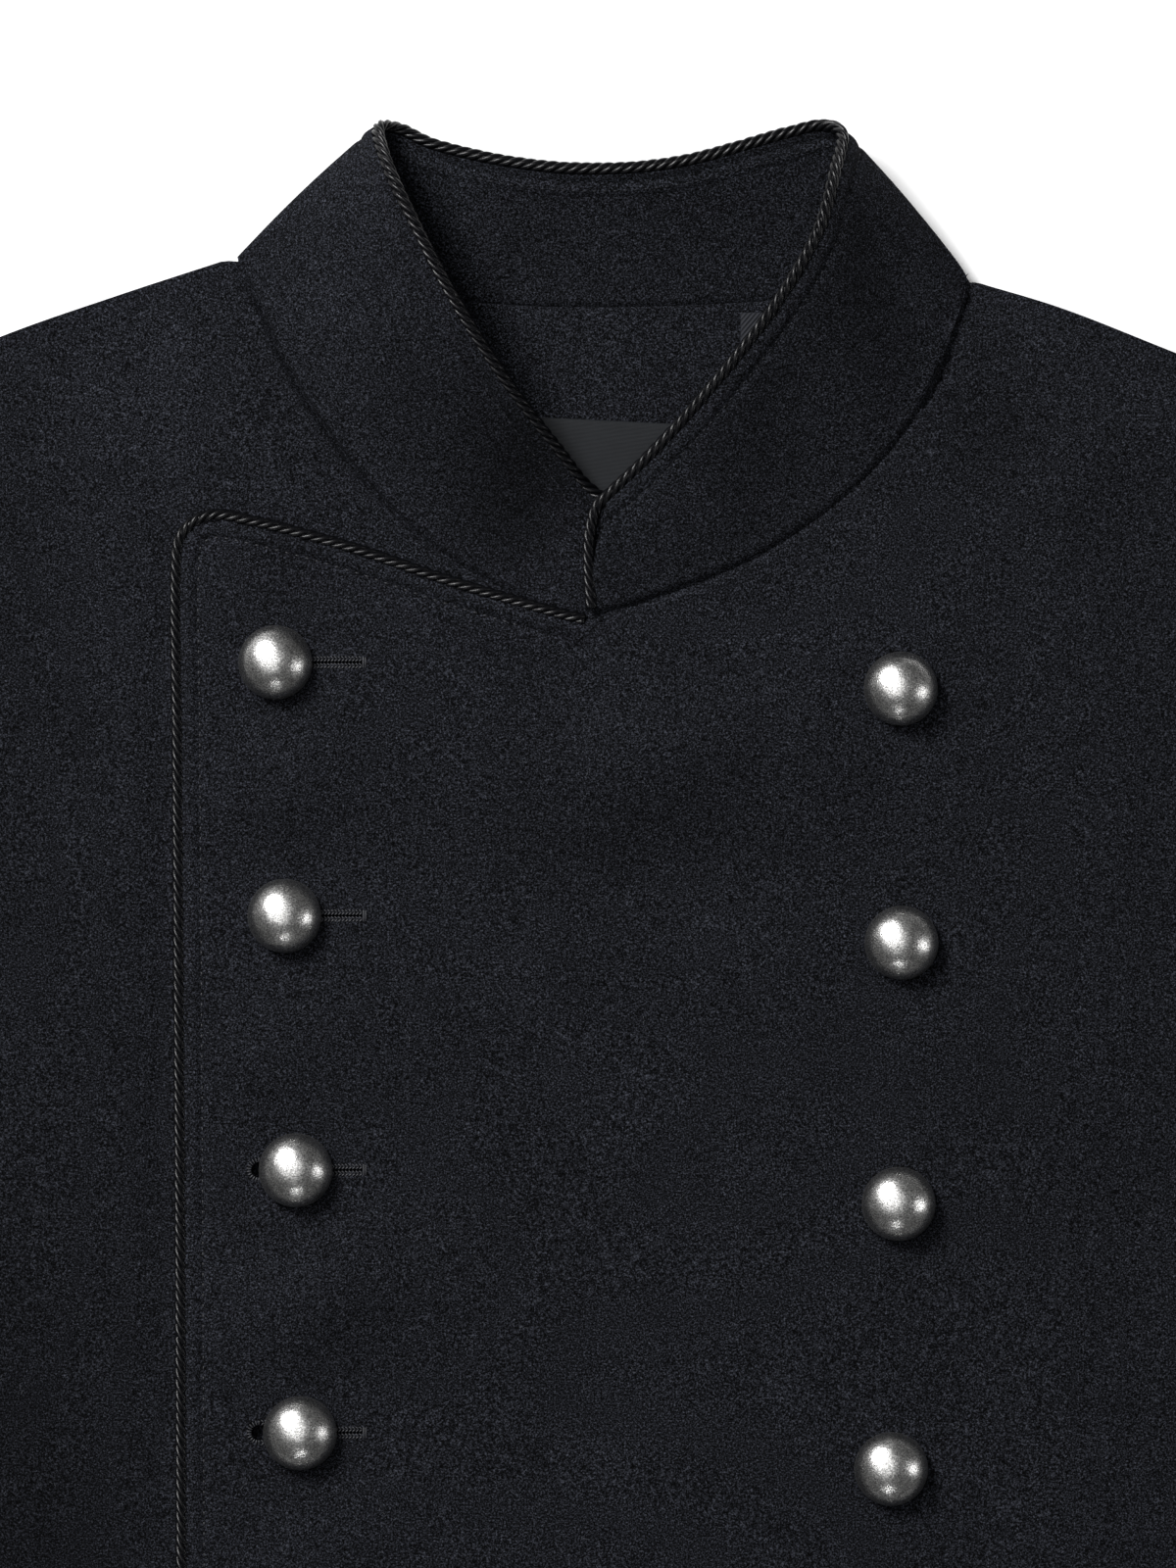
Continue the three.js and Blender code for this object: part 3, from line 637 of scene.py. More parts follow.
def keyhole_half_width(x, button_x):
    """Round the eyelet and the shank the slit stands open, and beyond the button it closes."""
    stations = [EYELET_X, button_x + SHANK_ROOM, button_x + NARROW_FROM, SLIT_END_X]
    return np.interp(x, stations, [EYELET_RADIUS, SHANK_ROOM, SLIT_HALF_WIDTH, SLIT_HALF_WIDTH])


def buttonhole_cutters():
    """Keyhole blocks through the front, one for each fastened button."""
    mesh = bmesh.new()
    for button_x, y in FASTENED_BUTTONS:
        stations = [button_x + SHANK_ROOM, button_x + NARROW_FROM, SLIT_END_X]
        upper = [(x, y + keyhole_half_width(x, button_x)) for x in stations]
        lower = [(x, 2 * y - edge_y) for x, edge_y in upper]
        turns = np.linspace(math.pi / 2, 3 * math.pi / 2, 13)
        round_end = [(EYELET_X + EYELET_RADIUS * math.cos(a), y + EYELET_RADIUS * math.sin(a)) for a in turns]
        outline = [*lower, *upper[::-1], *round_end]
        face = mesh.faces.new([mesh.verts.new((x, py, 0)) for x, py in outline])
        made = bmesh.ops.extrude_face_region(mesh, geom=[face])
        top = [item for item in made["geom"] if isinstance(item, bmesh.types.BMVert)]
        bmesh.ops.translate(mesh, vec=(0, 0, CUTTER_HEIGHT), verts=top)
    bmesh.ops.recalc_face_normals(mesh, faces=mesh.faces)
    return set_down("buttonhole_cutters", mesh)


# Light and shade painted into the overlapping front's colour, in the same columns: a dark trough and band
# below the collar, a lighter strip inside the edge, a dark patch beside the collar, and shade above each
# fastened button.
LEFT_PAINTED_SHADING = [
    (-0.0157, 0.137, 0.014, 0.008, -0.7, -0.1),
    (0.0136, 0.098, 0.034, 0.012, 0.12, -0.18),
    (-0.109, 0.0, 0.24, 0.005, 1.57, 0.14),
    (0.1, 0.212, 0.012, 0.02, 0.3, -0.2),
]
RIGHT_OF, ABOVE = 0.004, 0.021
LEFT_PAINTED_SHADING += [(x + RIGHT_OF, y + ABOVE, 0.014, 0.008, 0.3, -0.1) for x, y in FASTENED_BUTTONS]
left_front = with_thickness(set_down("left_front", cloth_grid(160, 200, left_front_points), wool))
cutters = buttonhole_cutters()
holes = left_front.modifiers.new("buttonholes", "BOOLEAN")
holes.operation = "DIFFERENCE"
holes.solver = "EXACT"
holes.object = cutters
finished(left_front)
bpy.data.objects.remove(cutters)
paint_light_and_shade(left_front, LEFT_PAINTED_SHADING)
part_of_jacket(left_front, "wool", "front_over")

# Sleeves
# Each sleeve is a tube pressed flat, set into the armhole and open at the cuff, with a rounded fold
# along the top of the arm and another along the underarm, and a few soft creases across it.
SLEEVE_HEIGHT = 0.0085
SLEEVE_HEAD_HEIGHT = FRONT_SEAM_LEVEL + CLOTH
SLEEVE_HEAD_LENGTH = 0.12
SLEEVE_FOLD_SHARE = 0.06
SLEEVE_ROWS = 120
SLEEVE_SET_IN = 0.0006
CREASE_FROM_FOLD = 0.2
CREASE_FROM_HEAD = 0.06
OVERARM = [(0.22, 0.202), (0.268, 0.158), (0.395, -0.038), (0.542, -0.303)]
UNDERARM = [(0.25, 0), (0.318, -0.152), (0.421, -0.373)]

# Creases: share along, share across, half length, half width, turn and rise
SLEEVE_CREASES = [
    (0.16, 0.55, 0.07, 0.022, 0.9, 0.0012),
    (0.44, 0.62, 0.06, 0.016, 0.5, 0.0014),
    (0.5, 0.4, 0.055, 0.014, -0.2, 0.0011),
    (0.78, 0.5, 0.08, 0.02, 1.1, 0.0009),
]


def sleeve(name, node, sign, armhole):
    def head_edge(share):
        points = armhole.along(1 - share)
        points[:, 0] -= sign * SLEEVE_SET_IN
        return points

    def on_side(rows):
        return rows if sign > 0 else mirrored(rows)

    over = Line([head_edge(np.zeros(1))[0], *on_side(OVERARM[1:])])
    under = Line([head_edge(np.ones(1))[0], *on_side(UNDERARM[1:])])
    cuff = straight(over.fine[-1], under.fine[-1])
    ends = [line.fine[k] for line in (over, under) for k in (0, -1)]
    creases = []
    for along, across, long, wide, turn, rise in SLEEVE_CREASES:
        top = ends[0] + (ends[1] - ends[0]) * along
        low = ends[2] + (ends[3] - ends[2]) * along
        x, y, _ = top + (low - top) * across
        creases.append((x, y, long, wide, sign * turn, rise))

    def tube(u, rows_done):
        """u goes once round the sleeve; the rows go down its outside to the cuff and up its inside again."""
        row = np.round(rows_done * (2 * SLEEVE_ROWS + 2))
        outside = (row <= SLEEVE_ROWS) | (row > 2 * SLEEVE_ROWS + 1)
        v = np.where(row <= SLEEVE_ROWS, row, np.maximum(2 * SLEEVE_ROWS + 1 - row, 0)) / SLEEVE_ROWS
        height = SLEEVE_HEAD_HEIGHT + (SLEEVE_HEIGHT - SLEEVE_HEAD_HEIGHT) * smooth(v / SLEEVE_HEAD_LENGTH)
        middle = height / 2
        radius = np.where(outside, middle, middle - CLOTH)
        width = np.linalg.norm(under.along(v) - over.along(v), axis=1)
        margin = middle / width
        on_top = u < 0.5
        t = np.where(on_top, u * 2, (1 - u) * 2)
        from_fold = np.minimum(np.minimum(t, 1 - t) / SLEEVE_FOLD_SHARE, 1)
        angle = (1 - from_fold) * math.pi / 2
        rounded = (middle - radius * np.sin(angle)) / width
        between = np.clip((t - SLEEVE_FOLD_SHARE) / (1 - 2 * SLEEVE_FOLD_SHARE), 0, 1)
        flat_across = margin + (1 - 2 * margin) * between
        across = np.where(from_fold < 1, np.where(t < 0.5, rounded, 1 - rounded), flat_across)
        points = filled_in(head_edge, cuff, over.along, under.along, across, v)
        from_sides = smooth(np.minimum(across, 1 - across) / CREASE_FROM_FOLD)
        lift = swell(creases, points) * from_sides * smooth(v / CREASE_FROM_HEAD)
        points[:, 2] = middle + np.where(on_top, 1, -1) * radius * np.cos(angle) + np.where(on_top, lift, 0)
        return points

    mesh = cloth_grid(150, 2 * SLEEVE_ROWS + 2, tube, flipped=sign < 0)
    bmesh.ops.remove_doubles(mesh, verts=mesh.verts, dist=0.00001)
    piece = with_rounded_edges(set_down(name, mesh, wool))
    part_of_jacket(piece, "wool", node)


sleeve("left_sleeve", "sleeve_left", 1, armhole_left)
sleeve("right_sleeve", "sleeve_right", -1, armhole_right)

# Back neck facing, label and hanger loop
# They lie on the inside of the back: a facing of the same wool, a bare satin label sewn to it, and a tape
# loop whose end is caught in the collar seam.
FACING_LOW = CLOTH + SEAM_GAP
FACING_THICK = 0.0016
TRIM_LOW = FACING_LOW + FACING_THICK + SEAM_GAP
TRIM_THICK = 0.0008
FACING_ROUNDING = 0.0004
TRIM_ROUNDING = 0.00025
TRIM_GRID = 0.0015
FACING_FROM_FOLD = 1.2
LABEL_SIZE = (0.085, 0.04)
LABEL_CENTRE = (0.0035, 0.1886)
LABEL_TURN = -0.05
TAPE_SIZE = (0.008, 0.026)
TAPE_CENTRE = (0.043, 0.225)
FACING_FOOT = [(-0.092, 0.212), (-0.062, 0.17), (0, 0.15), (0.062, 0.168), (0.094, 0.208)]


def facing_points(u, v):
    foot = Line(FACING_FOOT)
    rows = (RIGHT_FOLD_ROW + FACING_FROM_FOLD, LEFT_FOLD_ROW - FACING_FROM_FOLD)
    neck = Line(neck_edge(*rows, -SEAM_GAP))
    left = straight(foot.fine[0], neck.fine[0])
    right = straight(foot.fine[-1], neck.fine[-1])
    points = filled_in(foot.along, neck.along, left, right, u, v)
    points[:, 2] = FACING_LOW + FACING_THICK
    return points


facing = set_down("neck_facing", cloth_grid(90, 40, facing_points), wool)
with_thickness(facing, FACING_THICK, FACING_ROUNDING)
part_of_jacket(facing, "wool", "back_neck_facing")


def satin():
    """Close satin: fine threads across the label, dark grey with a soft shine."""
    cloth = Nodes("label_satin", Roughness=0.5, Specular_IOR_Level=0.16)
    where = cloth.place(turn=(0, 0, -LABEL_TURN))
    waves = {"Vector": where, "Scale": 900, "Distortion": 0.6, "Detail": 1.0}
    threads = cloth.add("TexWave", waves, wave_type="BANDS", bands_direction="Y").outputs["Fac"]
    uneven = cloth.remap(cloth.noise(where, scale=260, detail=2), 0.9, 1.1)
    amount = cloth.math("MULTIPLY", cloth.remap(threads, 0.8, 1.15, 0, 1), uneven)
    cloth.link(cloth.tinted((0.0088, 0.0099, 0.0117), amount), "Base Color")
    cloth.link(cloth.bump(threads, distance=0.0001, strength=0.5), "Normal")
    return cloth.material


def trim_sheet(name, size, centre, turn, material):
    """A flat strip of trim, sewn down."""
    width, length = size

    def place(u, v):
        x, y = (u - 0.5) * width, (v - 0.5) * length
        return np.stack([
            centre[0] + x * math.cos(turn) - y * math.sin(turn),
            centre[1] + x * math.sin(turn) + y * math.cos(turn),
            0 * u + TRIM_LOW + TRIM_THICK,
        ], -1)

    strip = set_down(name, cloth_grid(round(width / TRIM_GRID), round(length / TRIM_GRID), place), material)
    return with_thickness(strip, TRIM_THICK, TRIM_ROUNDING)


label = trim_sheet("satin_label", LABEL_SIZE, LABEL_CENTRE, LABEL_TURN, satin())
part_of_jacket(label, "label_satin", "neck_label")


def tape_weave():
    """Twill tape: fine slanting ribs."""
    cloth = Nodes("twill_tape", Roughness=0.7, Specular_IOR_Level=0.15)
    waves = {"Vector": cloth.place(turn=(0, 0, 0.7)), "Scale": 330, "Distortion": 0.4}
    ribs = cloth.add("TexWave", waves, wave_type="BANDS", bands_direction="X").outputs["Fac"]
    cloth.link(cloth.tinted((0.0135, 0.0145, 0.0185), cloth.remap(ribs, 0.5, 1.4, 0, 1)), "Base Color")
    cloth.link(cloth.bump(ribs, distance=0.0002, strength=0.8), "Normal")
    return cloth.material


tape = trim_sheet("hanger_tape", TAPE_SIZE, TAPE_CENTRE, 0, tape_weave())
part_of_jacket(tape, "tape", "hanger_loop")

# Collar
# One standing band of melton, sewn to the neck edges and leaning in over the opening. Its top edge is
# piped, and turned and topstitched like the front's.
COLLAR_BACK_LEVEL = 0.0026
NECK_CENTRE_ROW = 10
COLLAR_BULGE = 0.0008
COLLAR_FOOT_CROWD = (0.18, 0.07)
COLLAR_EDGE_CROWD = (0.35, 0.2)
COLLAR_STITCH_DEPTH = 0.7
INSIDE_DIP = 1.6
FOLD_FREE_ROWS = 0.1
SLANT_STEP = 0.002
OUTWARD_STEP = 0.05

# The collar's front end reaches over to its cord: how far, over how many rows, and its share at the foot
COLLAR_END_REACH = 0.003
COLLAR_END_ROWS = 0.7
COLLAR_END_FOOT = 0.57
COLLAR_END_FULLEST = 1.3
COLLAR_END_POWER = 6

# Hollows of the collar: row, half length in rows and depth
COLLAR_HOLLOWS = [(2.6, 1.4, 0.0062), (15.4, 0.5, 0.003), (17.4, 0.5, 0.0025)]

# Middle of the cord along the collar's top edge, row for row above the neck seam: x, y and z
COLLAR_TOP = [
    (0.0035, 0.1861, 0.0085),
    (-0.0029, 0.1908, 0.0095),
    (-0.0099, 0.1995, 0.0135),
    (-0.0252, 0.2195, 0.023),
    (-0.0384, 0.2403, 0.029),
    (-0.0486, 0.2598, 0.031),
    (-0.0564, 0.2767, 0.0275),
    (-0.0587, 0.2872, 0.018),
    (-0.0535, 0.2873, 0.0125),
    (-0.0445, 0.2832, 0.0115),
    (-0.013, 0.2769, 0.0135),
    (0.0189, 0.2777, 0.0135),
    (0.0509, 0.2861, 0.0115),
    (0.0607, 0.2882, 0.0125),
    (0.0659, 0.2859, 0.018),
    (0.0639, 0.2745, 0.0275),
    (0.0594, 0.2584, 0.031),
    (0.0486, 0.2395, 0.029),
    (0.0331, 0.2194, 0.0245),
    (0.0157, 0.2, 0.019),
    (0.0005, 0.1856, 0.0148),
]


def neck_seam_points():
    """The middle of the band's foot at close rows: on the fronts it follows their cloth."""
    rows = np.linspace(0, LAST_ROW, 12 * LAST_ROW + 1)
    points = neck_in_plan.at_row(rows)
    under, over = lower_level(points), upper_level(points)
    points[:, 2] = np.where(rows < NECK_CENTRE_ROW, under, over) + CLOTH / 2
    behind = smooth(rows - RIGHT_FOLD_ROW) - smooth(rows - LEFT_FOLD_ROW + 1)
    points[:, 2] += (COLLAR_BACK_LEVEL - points[:, 2]) * behind
    return rows, points


foot_rows, foot_points = neck_seam_points()
collar_top = Line(COLLAR_TOP)


def collar_span(row):
    """The foot and head of the band at each row, and the sine of its slant."""
    foot = read_off(row, foot_rows, foot_points)
    head = collar_top.at_row(row)
    ahead, behind = either_side(row, SLANT_STEP, LAST_ROW)
    along = unit(collar_top.at_row(ahead) - collar_top.at_row(behind))
    up = unit(head - foot)
    sine = np.linalg.norm(np.cross(along, up), axis=1)
    return foot, head, sine


def collar_point(row, share):
    foot, head, sine = collar_span(row)
    height = np.linalg.norm(head - foot, axis=1)
    high = 1 - CORD_COVER / (height * sine)
    return foot + (head - foot) * (share * high)[:, None]


def collar_outward(row, share):
    ahead, behind = either_side(row, OUTWARD_STEP, LAST_ROW)
    along = collar_point(ahead, share) - collar_point(behind, share)
    up = collar_point(row, 1 + 0 * row) - collar_point(row, 0 * row)
    return unit(np.cross(up, along))


def collar_bulge(row, share):
    """How far the band swells outward between its foot and its head, and its hollows near the front."""
    hollows = sum(depth * np.exp(-((row - at) / reach) ** 2) for at, reach, depth in COLLAR_HOLLOWS)
    return (COLLAR_BULGE - hollows) * np.sin(math.pi * share)


def collar_points(u, v):
    v = crowded(v, *COLLAR_FOOT_CROWD)
    v = 1 - crowded(1 - v, *COLLAR_EDGE_CROWD)
    row = u * COLLAR_END_ROW
    foot, head, sine = collar_span(row)
    height = np.linalg.norm(head - foot, axis=1)
    below_edge = (1 - v) * height * sine
    above_foot = v * height * sine
    bulge = collar_bulge(row, v) + CLOTH / 2 + stitched_edge(below_edge) * COLLAR_STITCH_DEPTH
    inside_shows = smooth(row - RIGHT_FOLD_ROW + 0.5) - smooth(row - LEFT_FOLD_ROW + 0.5)
    from_folds = np.minimum(np.abs(row - RIGHT_FOLD_ROW), np.abs(row - LEFT_FOLD_ROW))
    dip = seam_dip(above_foot, foot[:, 0]) * (1 - INSIDE_DIP * inside_shows)
    bulge -= dip * smooth(from_folds - FOLD_FREE_ROWS)
    points = collar_point(row, v) + collar_outward(row, v) * bulge[:, None]
    to_cord = COLLAR_END_REACH * smooth((row - COLLAR_END_ROW) / COLLAR_END_ROWS + 1)
    fuller = np.sin(math.pi * np.minimum(v * COLLAR_END_FULLEST, 1))
    reach = COLLAR_END_FOOT + (1 - COLLAR_END_FOOT) * fuller
    points[:, 0] -= to_cord * (1 - v ** COLLAR_END_POWER) * reach
    return points


# Light and shade painted into the collar's colour, in the same columns, darkest near the front on the left.
COLLAR_PAINTED_SHADING = [
    (-0.0215, 0.191, 0.026, 0.016, 1.2, -0.55),
    (-0.072, 0.235, 0.02, 0.02, 0, 0.22),
    (0.067, 0.243, 0.014, 0.009, 1.2, -0.28),
    (0.035, 0.2, 0.014, 0.01, 0.8, -0.25),
    (0.07, 0.205, 0.02, 0.006, 0.9, 0.12),
]
collar = with_thickness(set_down("stand_collar", cloth_grid(300, 54, collar_points, flipped=True), wool))
paint_light_and_shade(collar, COLLAR_PAINTED_SHADING)
part_of_jacket(collar, "wool", "collar")

# Piping
# A hard-twisted cord of four black rayon plies, sewn into the edge of the collar and of the overlapping
# front. The collar's cord turns down its front end and meets the other one at the neck.
PLIES = 4
PLY_RADIUS = 0.00076
CORE_RADIUS = 0.0012
PLY_OFFSET = CORD_RADIUS - PLY_RADIUS
LAY_LENGTH = 0.012
PLY_STEP = 0.0007
CORD_LIFT = 0.0004
COLLAR_END_CORD = [(-0.0016, 0.1792, 0.0138), (-0.0021, 0.17, 0.0129), (-0.0014, 0.1576, 0.0122)]


def rayon():
    """Twisted rayon: black with a hard shine, its filaments lying along each ply."""
    cord = Nodes("black_rayon", Roughness=0.26, Specular_IOR_Level=0.2)
    filaments = cord.noise(cord.place((4, 60, 1), source="UV"), scale=6, detail=2)
    cord.link(cord.tinted((0.0026, 0.0027, 0.0033), cord.remap(filaments, 0.6, 1.5)), "Base Color")
    cord.link(cord.bump(filaments, distance=0.00004, strength=0.4), "Normal")
    return cord.material


cord_finish = rayon()


def twisted_cord(name, points, node):
    """Plies wound round a core, in a frame carried along the points."""
    path = Line(points, 12)
    count = round(path.length / PLY_STEP)
    middle = path.along(np.linspace(0, 1, count + 1))
    tangent = unit(np.gradient(middle, axis=0))
    side = np.zeros_like(middle)
    side[0] = unit(np.cross(tangent[:1], [[0, 0, 1]]))[0]
    for k in range(1, count + 1):
        carried = side[k - 1] - tangent[k] * (side[k - 1] @ tangent[k])
        side[k] = carried / np.linalg.norm(carried)
    out = np.cross(side, tangent)
    turn = 2 * math.pi * path.length / LAY_LENGTH * np.linspace(0, 1, count + 1)
    curve = bpy.data.curves.new(name, "CURVE")
    curve.dimensions = "3D"
    curve.bevel_depth = PLY_RADIUS
    curve.bevel_resolution = 1
    curve.use_fill_caps = True
    strands = []
    for ply in range(PLIES):
        angle = (turn + 2 * math.pi * ply / PLIES)[:, None]
        strands.append((middle + PLY_OFFSET * (np.cos(angle) * side + np.sin(angle) * out), 1))
    strands.append((middle, CORE_RADIUS / PLY_RADIUS))
    for line, radius in strands:
        spline = curve.splines.new("POLY")
        spline.points.add(count)
        spline.points.foreach_set("co", np.hstack([line, np.ones((count + 1, 1))]).ravel())
        spline.points.foreach_set("radius", np.full(count + 1, radius))
    drawn = in_scene(name, curve)
    data = evaluated_mesh(drawn)
    bpy.data.objects.remove(drawn)
    mesh = bmesh.new()
    mesh.from_mesh(data)
    weld(mesh, 0.00002)
    part_of_jacket(set_down(name, mesh, cord_finish), "cord", node)


collar_rows = np.append(np.linspace(0, COLLAR_END_ROW, 61), LAST_ROW)
twisted_cord("collar_cord", [*collar_top.at_row(collar_rows), *COLLAR_END_CORD], "piping_collar")
front_cord = flap_line.along(np.linspace(0, 1, 160))
front_cord[:, 2] = upper_level(front_cord) + CLOTH / 2 + CORD_LIFT
twisted_cord("front_cord", front_cord, "piping_front")

# Topstitching
# One row of black thread, sewn five millimetres in from the edge of the overlapping front and the collar.
# Each stitch is a short bead sunk in the groove that it pulls.
STITCH_PITCH = 0.0028
STITCH_LENGTH = 0.0012
STITCH_THICK = 0.0005
STITCH_LIFT = 0.1
FRONT_STITCH_SPAN = (0.001, 0.97)
COLLAR_STITCH_SPAN = (0.3, COLLAR_END_ROW - 0.25)


def thread(name, color, shine):
    """Spun thread, flecked lighter and darker by its twist."""
    cotton = Nodes(name, Roughness=0.45, Specular_IOR_Level=shine)
    twist = cotton.noise(cotton.place(), scale=3000, detail=2)
    cotton.link(cotton.tinted(color, cotton.remap(twist, 0.5, 1.6)), "Base Color")
    return cotton.material


thread_finish = thread("sewing_thread", (0.015, 0.0155, 0.0185), 0.35)
dull_thread = thread("collar_thread", (0.011, 0.0116, 0.0142), 0.15)


def stitch_bead():
    """A bead of a few faces, of radius 1, that every stitch is a stretched copy of."""
    mesh = bmesh.new()
    bmesh.ops.create_uvsphere(
        mesh, u_segments=6, v_segments=4, radius=1, matrix=Matrix.Rotation(math.pi / 2, 4, "Y")
    )
    bead = bpy.data.meshes.new("stitch_bead")
    mesh.to_mesh(bead)
    mesh.free()
    return bead


bead = stitch_bead()


def add_stitch(mesh, centre, along, up, length, thick):
    """One stitch: the bead stretched along the seam."""
    along, up = Vector(along).normalized(), Vector(up).normalized()
    across = up.cross(along).normalized()
    up = along.cross(across)
    turned = Matrix((along, across, up)).transposed().to_4x4()
    size = Matrix.Diagonal((length / 2, thick / 2, thick / 2, 1))
    stitch = bead.copy()
    stitch.transform(Matrix.Translation(centre) @ turned @ size)
    mesh.from_mesh(stitch)
    bpy.data.meshes.remove(stitch)


def stitch_row(mesh, line, ups):
    """Stitches at an even pitch along a line of points. The ups say which way the cloth faces."""
    path = Line(line, 4)
    count = int(path.length / STITCH_PITCH)
    shares = (np.arange(count) + 0.5) / count
    centres = path.along(shares)
    ahead, behind = either_side(shares, SHARE_STEP)
    along = path.along(ahead) - path.along(behind)
    faces = read_off(shares * (len(ups) - 1), np.arange(len(ups)), ups)
    for centre, way, up in zip(centres, along, faces):
        add_stitch(mesh, centre, way, up, STITCH_LENGTH, STITCH_THICK)


front_stitches = bmesh.new()
edge_shares = np.linspace(*FRONT_STITCH_SPAN, 200)
stitched = flap_cloth(edge_shares) + flap_inward(edge_shares) * TOPSTITCH_IN
stitched[:, 2] = upper_level(stitched) + CLOTH + stitched_edge(TOPSTITCH_IN) + STITCH_THICK * STITCH_LIFT
stitch_row(front_stitches, stitched, np.tile([0, 0, 1.0], (len(stitched), 1)))
part_of_jacket(set_down("front_topstitch", front_stitches, thread_finish), "cord")

collar_stitches = bmesh.new()
rows = np.linspace(*COLLAR_STITCH_SPAN, 200)
foot, head, sine = collar_span(rows)
up_share = 1 - TOPSTITCH_IN / (np.linalg.norm(head - foot, axis=1) * sine)
outward = collar_outward(rows, up_share)
raised = collar_bulge(rows, up_share)
for side_sign in (1, -1):
    offset = raised + stitched_edge(TOPSTITCH_IN) * COLLAR_STITCH_DEPTH + side_sign * CLOTH / 2
    line = collar_point(rows, up_share) + outward * offset[:, None]
    stitch_row(collar_stitches, line, outward * side_sign)
part_of_jacket(set_down("collar_topstitch", collar_stitches, dull_thread), "cord")

# Buttonhole stitching
# Each keyhole is worked round with close oblique stitches in black silk, and closed with a short bar.
PURL_PITCH = 0.00095
PURL_LENGTH = 0.00115
PURL_THICK = 0.0004
PURL_BAND = 0.0015
PURL_BITE = 0.0002
PURLS_FROM_X = EYELET_X + 0.001
EYELET_BITE = 0.00025
SILK_LIFT = 0.0001

# Two rows of purls on each side: share of the band out from the slit, and slant
PURL_ROWS = [(0.27, 0.9), (0.76, -0.9)]

# Bar across the slit's end: how far beyond it, length and thickness
BAR_STITCHES = [(0.0003, 0.0038, 0.0006), (0.0009, 0.00342, 0.0005)]


def silk_stitch(mesh, x, y, way, length, thick):
    z = level_at(upper_level, x, y) + CLOTH + SILK_LIFT
    add_stitch(mesh, (x, y, z), (*way, 0), (0, 0, 1), length, thick)


purls = bmesh.new()
for button_x, hole_y in FASTENED_BUTTONS:
    for x in np.arange(PURLS_FROM_X, SLIT_END_X, PURL_PITCH):
        edge = keyhole_half_width(x, button_x) - PURL_BITE
        for sign, (out, slant) in itertools.product((1, -1), PURL_ROWS):
            y = hole_y + sign * (edge + PURL_BAND * out)
            silk_stitch(purls, x, y, (1, slant * sign), PURL_LENGTH, PURL_THICK)
    for angle in np.linspace(math.pi / 2, 3 * math.pi / 2, 12):
        reach = EYELET_RADIUS + PURL_BAND / 2 - EYELET_BITE
        x, y = EYELET_X + reach * math.cos(angle), hole_y + reach * math.sin(angle)
        silk_stitch(purls, x, y, (math.cos(angle), math.sin(angle)), PURL_BAND, PURL_THICK)
    for beyond, length, thick in BAR_STITCHES:
        silk_stitch(purls, SLIT_END_X + beyond, hole_y, (0, 1), length, thick)
silk = thread("buttonhole_silk", (0.022, 0.0228, 0.0265), 0.4)
part_of_jacket(set_down("buttonhole_stitches", purls, silk), "cord")

# Loose fibres
# A few pale wool fibres that lie on the fronts, as on any fulled cloth that has been handled.
FIBRES = 260
FIBRE_THICK = 0.00009
FIBRE_LENGTHS = (0.0006, 0.0015)
FIBRE_BEND = 1.2
FIBRE_AREA = (-0.2, 0.2, -0.24, 0.14)
FLAP_FROM_X = -0.115

chance = random.Random(7)
fibres = bmesh.new()
for _ in range(FIBRES):
    x, y = chance.uniform(*FIBRE_AREA[:2]), chance.uniform(*FIBRE_AREA[2:])
    level = upper_level if x > FLAP_FROM_X else lower_level
    heading, length = chance.uniform(0, math.tau), chance.uniform(*FIBRE_LENGTHS)
    for bend in (0, chance.uniform(-FIBRE_BEND, FIBRE_BEND)):
        way = (math.cos(heading + bend), math.sin(heading + bend), 0)
        add_stitch(fibres, (x, y, level_at(level, x, y) + CLOTH), way, (0, 0, 1), length, FIBRE_THICK)
        x, y = x + way[0] * length, y + way[1] * length
part_of_jacket(set_down("loose_fibres", fibres, thread("pale_wool", (0.07, 0.075, 0.085), 0.2)), "wool")

# Buttons
# Domed buttons of satin-finished pewter, stamped hollow and closed with a flat back, each on a short shank.
# The left column stands in the buttonholes, and the right column is sewn to the front for show.
BUTTON_RADIUS = 0.01
BUTTON_HEIGHT = 0.0088
BUTTON_RIM = 0.0007
BUTTON_SEAT = 0.0008
SHANK_RADIUS = 0.0012

# The rounded edge of a button's back: in from the rim, and up
BUTTON_BACK = [(0.0008, 0), (0.0002, 0.0002)]
SHOW_BUTTONS = [
    (0.0822, 0.1358),
    (0.0825, 0.067),
    (0.0817, -0.0037),
    (0.0797, -0.0755),
    (0.0781, -0.1469),
]


def pewter():
    """Satin-finished pewter: fine bright grains all over, a little cloudy, with soft scratches."""
    metal = Nodes("satin_pewter", Metallic=1.0, Roughness=0.42)
    where = metal.place()
    cloudy = metal.noise(where, scale=180, detail=3)
    scratches = metal.noise(metal.place((1, 9, 4), (0.3, 0.2, 0.6)), scale=900, detail=2)
    grains = metal.noise(where, scale=2600, detail=2, roughness=0.7)
    bright = metal.math("POWER", metal.remap(grains, 0.5, 1.45), 1.8)
    amount = metal.math("MULTIPLY", metal.remap(cloudy, 0.82, 1.12), bright)
    metal.link(metal.tinted((0.58, 0.575, 0.565), amount), "Base Color")
    metal.link(metal.remap(scratches, 0.24, 0.36), "Roughness")
    fine = metal.bump(scratches, distance=0.000015, strength=0.6)
    metal.link(metal.bump(grains, distance=0.00006, strength=0.8, before=fine), "Normal")
    return metal.material


button_finish = pewter()


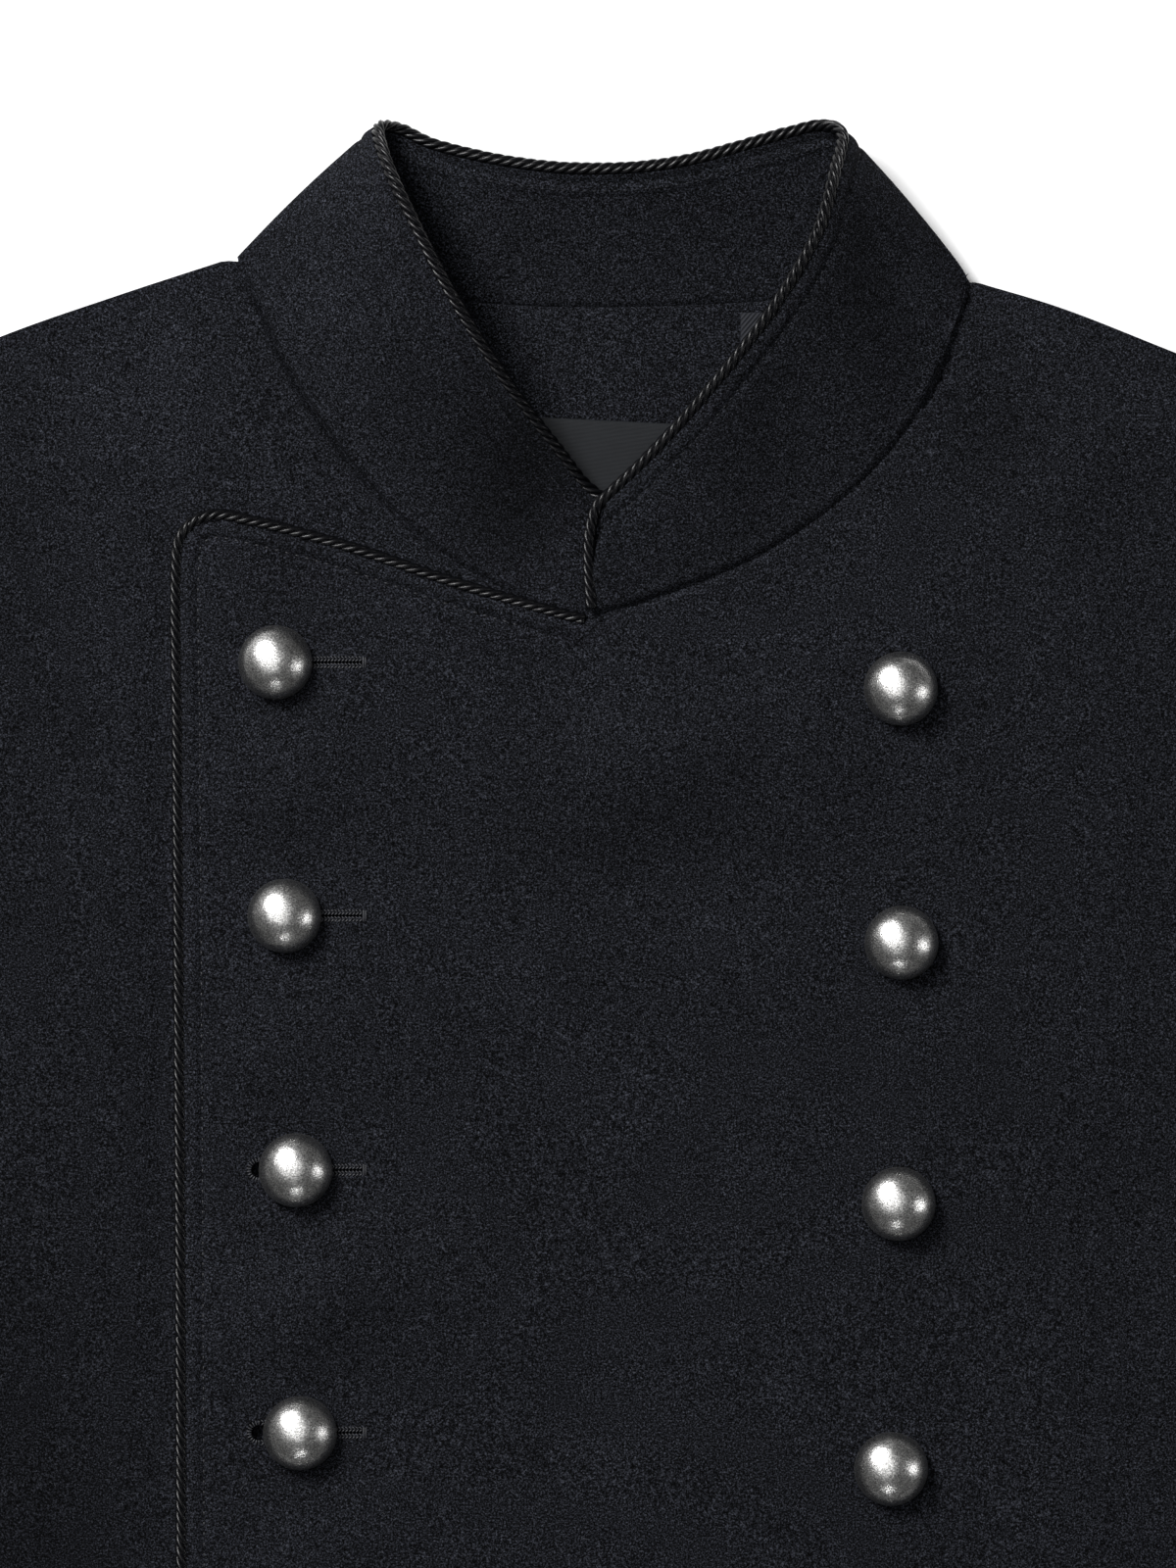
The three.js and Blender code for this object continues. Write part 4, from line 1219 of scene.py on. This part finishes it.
def button(name, node, x, y, shank_foot):
    """A dome spun about the upright through x and y, whose shank reaches down to shank_foot."""
    seat = level_at(upper_level, x, y) + CLOTH + BUTTON_SEAT
    mesh = bmesh.new()
    profile = [(0, shank_foot - seat), (SHANK_RADIUS, shank_foot - seat), (SHANK_RADIUS, 0)]
    profile += [(BUTTON_RADIUS - inward, up) for inward, up in BUTTON_BACK]
    profile += [
        (BUTTON_RADIUS * math.cos(a), BUTTON_RIM + (BUTTON_HEIGHT - BUTTON_RIM) * math.sin(a))
        for a in np.linspace(0, math.pi / 2, 14)
    ]
    verts = [mesh.verts.new((across, 0, up)) for across, up in profile]
    edges = [mesh.edges.new(pair) for pair in zip(verts, verts[1:])]
    bmesh.ops.spin(
        mesh, geom=verts + edges, cent=(0, 0, 0), axis=(0, 0, 1), angle=2 * math.pi, steps=48, use_merge=True
    )
    weld(mesh)
    bmesh.ops.translate(mesh, vec=(x, y, seat), verts=mesh.verts)
    part_of_jacket(set_down(name, mesh, button_finish), "button_metal", node)


for number, (x, y) in enumerate(FASTENED_BUTTONS, 1):
    shank_foot = level_at(lower_level, x, y) + CLOTH + SEAM_GAP
    button(f"left_column_button_{number}", f"button_fastened_{number}", x, y, shank_foot)
for number, (x, y) in enumerate(SHOW_BUTTONS, 1):
    shank_foot = level_at(upper_level, x, y) + CLOTH + SEAM_GAP
    button(f"right_column_button_{number}", f"button_show_{number}", x, y, shank_foot)

# Studio
# A plain pale floor, a soft key light from the upper left, a wide one overhead, a strip on the right, a
# small low one, and a camera straight above that takes in the collar and chest as the photograph does.
FLOOR_SIZE = 40
FLOOR_GAP = 0.0002
VIEW_CENTRE = Vector((-0.0024, 0.11, 0))
VIEW_HEIGHT = 2.2
VIEW_TALL = 0.4267


def floor_finish():
    paper = Nodes("pale_floor", Roughness=0.9)
    mottle = paper.noise(paper.place(), scale=30, detail=3)
    paper.link(paper.tinted((0.86, 0.86, 0.86), paper.remap(mottle, 0.99, 1.01)), "Base Color")
    return paper.material


floor_mesh = bmesh.new()
bmesh.ops.create_grid(floor_mesh, x_segments=8, y_segments=8, size=FLOOR_SIZE / 2)
bmesh.ops.translate(floor_mesh, vec=(0, 0, -FLOOR_GAP), verts=floor_mesh.verts)
floor = set_down("floor", floor_mesh, floor_finish())


def softbox(name, way, distance, width, height, power):
    """An area light that hangs that way from the middle of the view and points at it."""
    lamp = bpy.data.lights.new(name, "AREA")
    lamp.shape = "RECTANGLE"
    lamp.size = width
    lamp.size_y = height
    lamp.energy = power
    hung = in_scene(name, lamp)
    way = Vector(way).normalized()
    hung.location = VIEW_CENTRE + way * distance
    hung.rotation_euler = way.to_track_quat("Z", "Y").to_euler()


# Way from the middle of the view, distance, width, height and power
softbox("key", (-0.50, 0.56, 0.69), 2.4, 0.8, 0.8, 90)
softbox("overhead", (-0.25, 0.12, 0.96), 2.9, 2.4, 2.4, 30)
softbox("strip", (0.885, -0.12, 0.45), 1.5, 0.28, 0.6, 3)
softbox("low_spot", (-0.03, -0.86, 0.51), 1.6, 0.14, 0.14, 1.4)

world = bpy.data.worlds.new("studio_fill")
world.use_nodes = True
fill = world.node_tree.nodes["Background"].inputs
fill["Color"].default_value = (1, 1, 1, 1)
fill["Strength"].default_value = 0.08
bpy.context.scene.world = world
bpy.context.scene.view_settings.view_transform = "Standard"

eye = bpy.data.cameras.new("camera")
eye.sensor_width = 36
eye.sensor_fit = "AUTO"
eye.lens = eye.sensor_width * VIEW_HEIGHT / VIEW_TALL
camera = in_scene("camera", eye)
camera.location = VIEW_CENTRE + Vector((0, 0, VIEW_HEIGHT))
bpy.context.scene.camera = camera
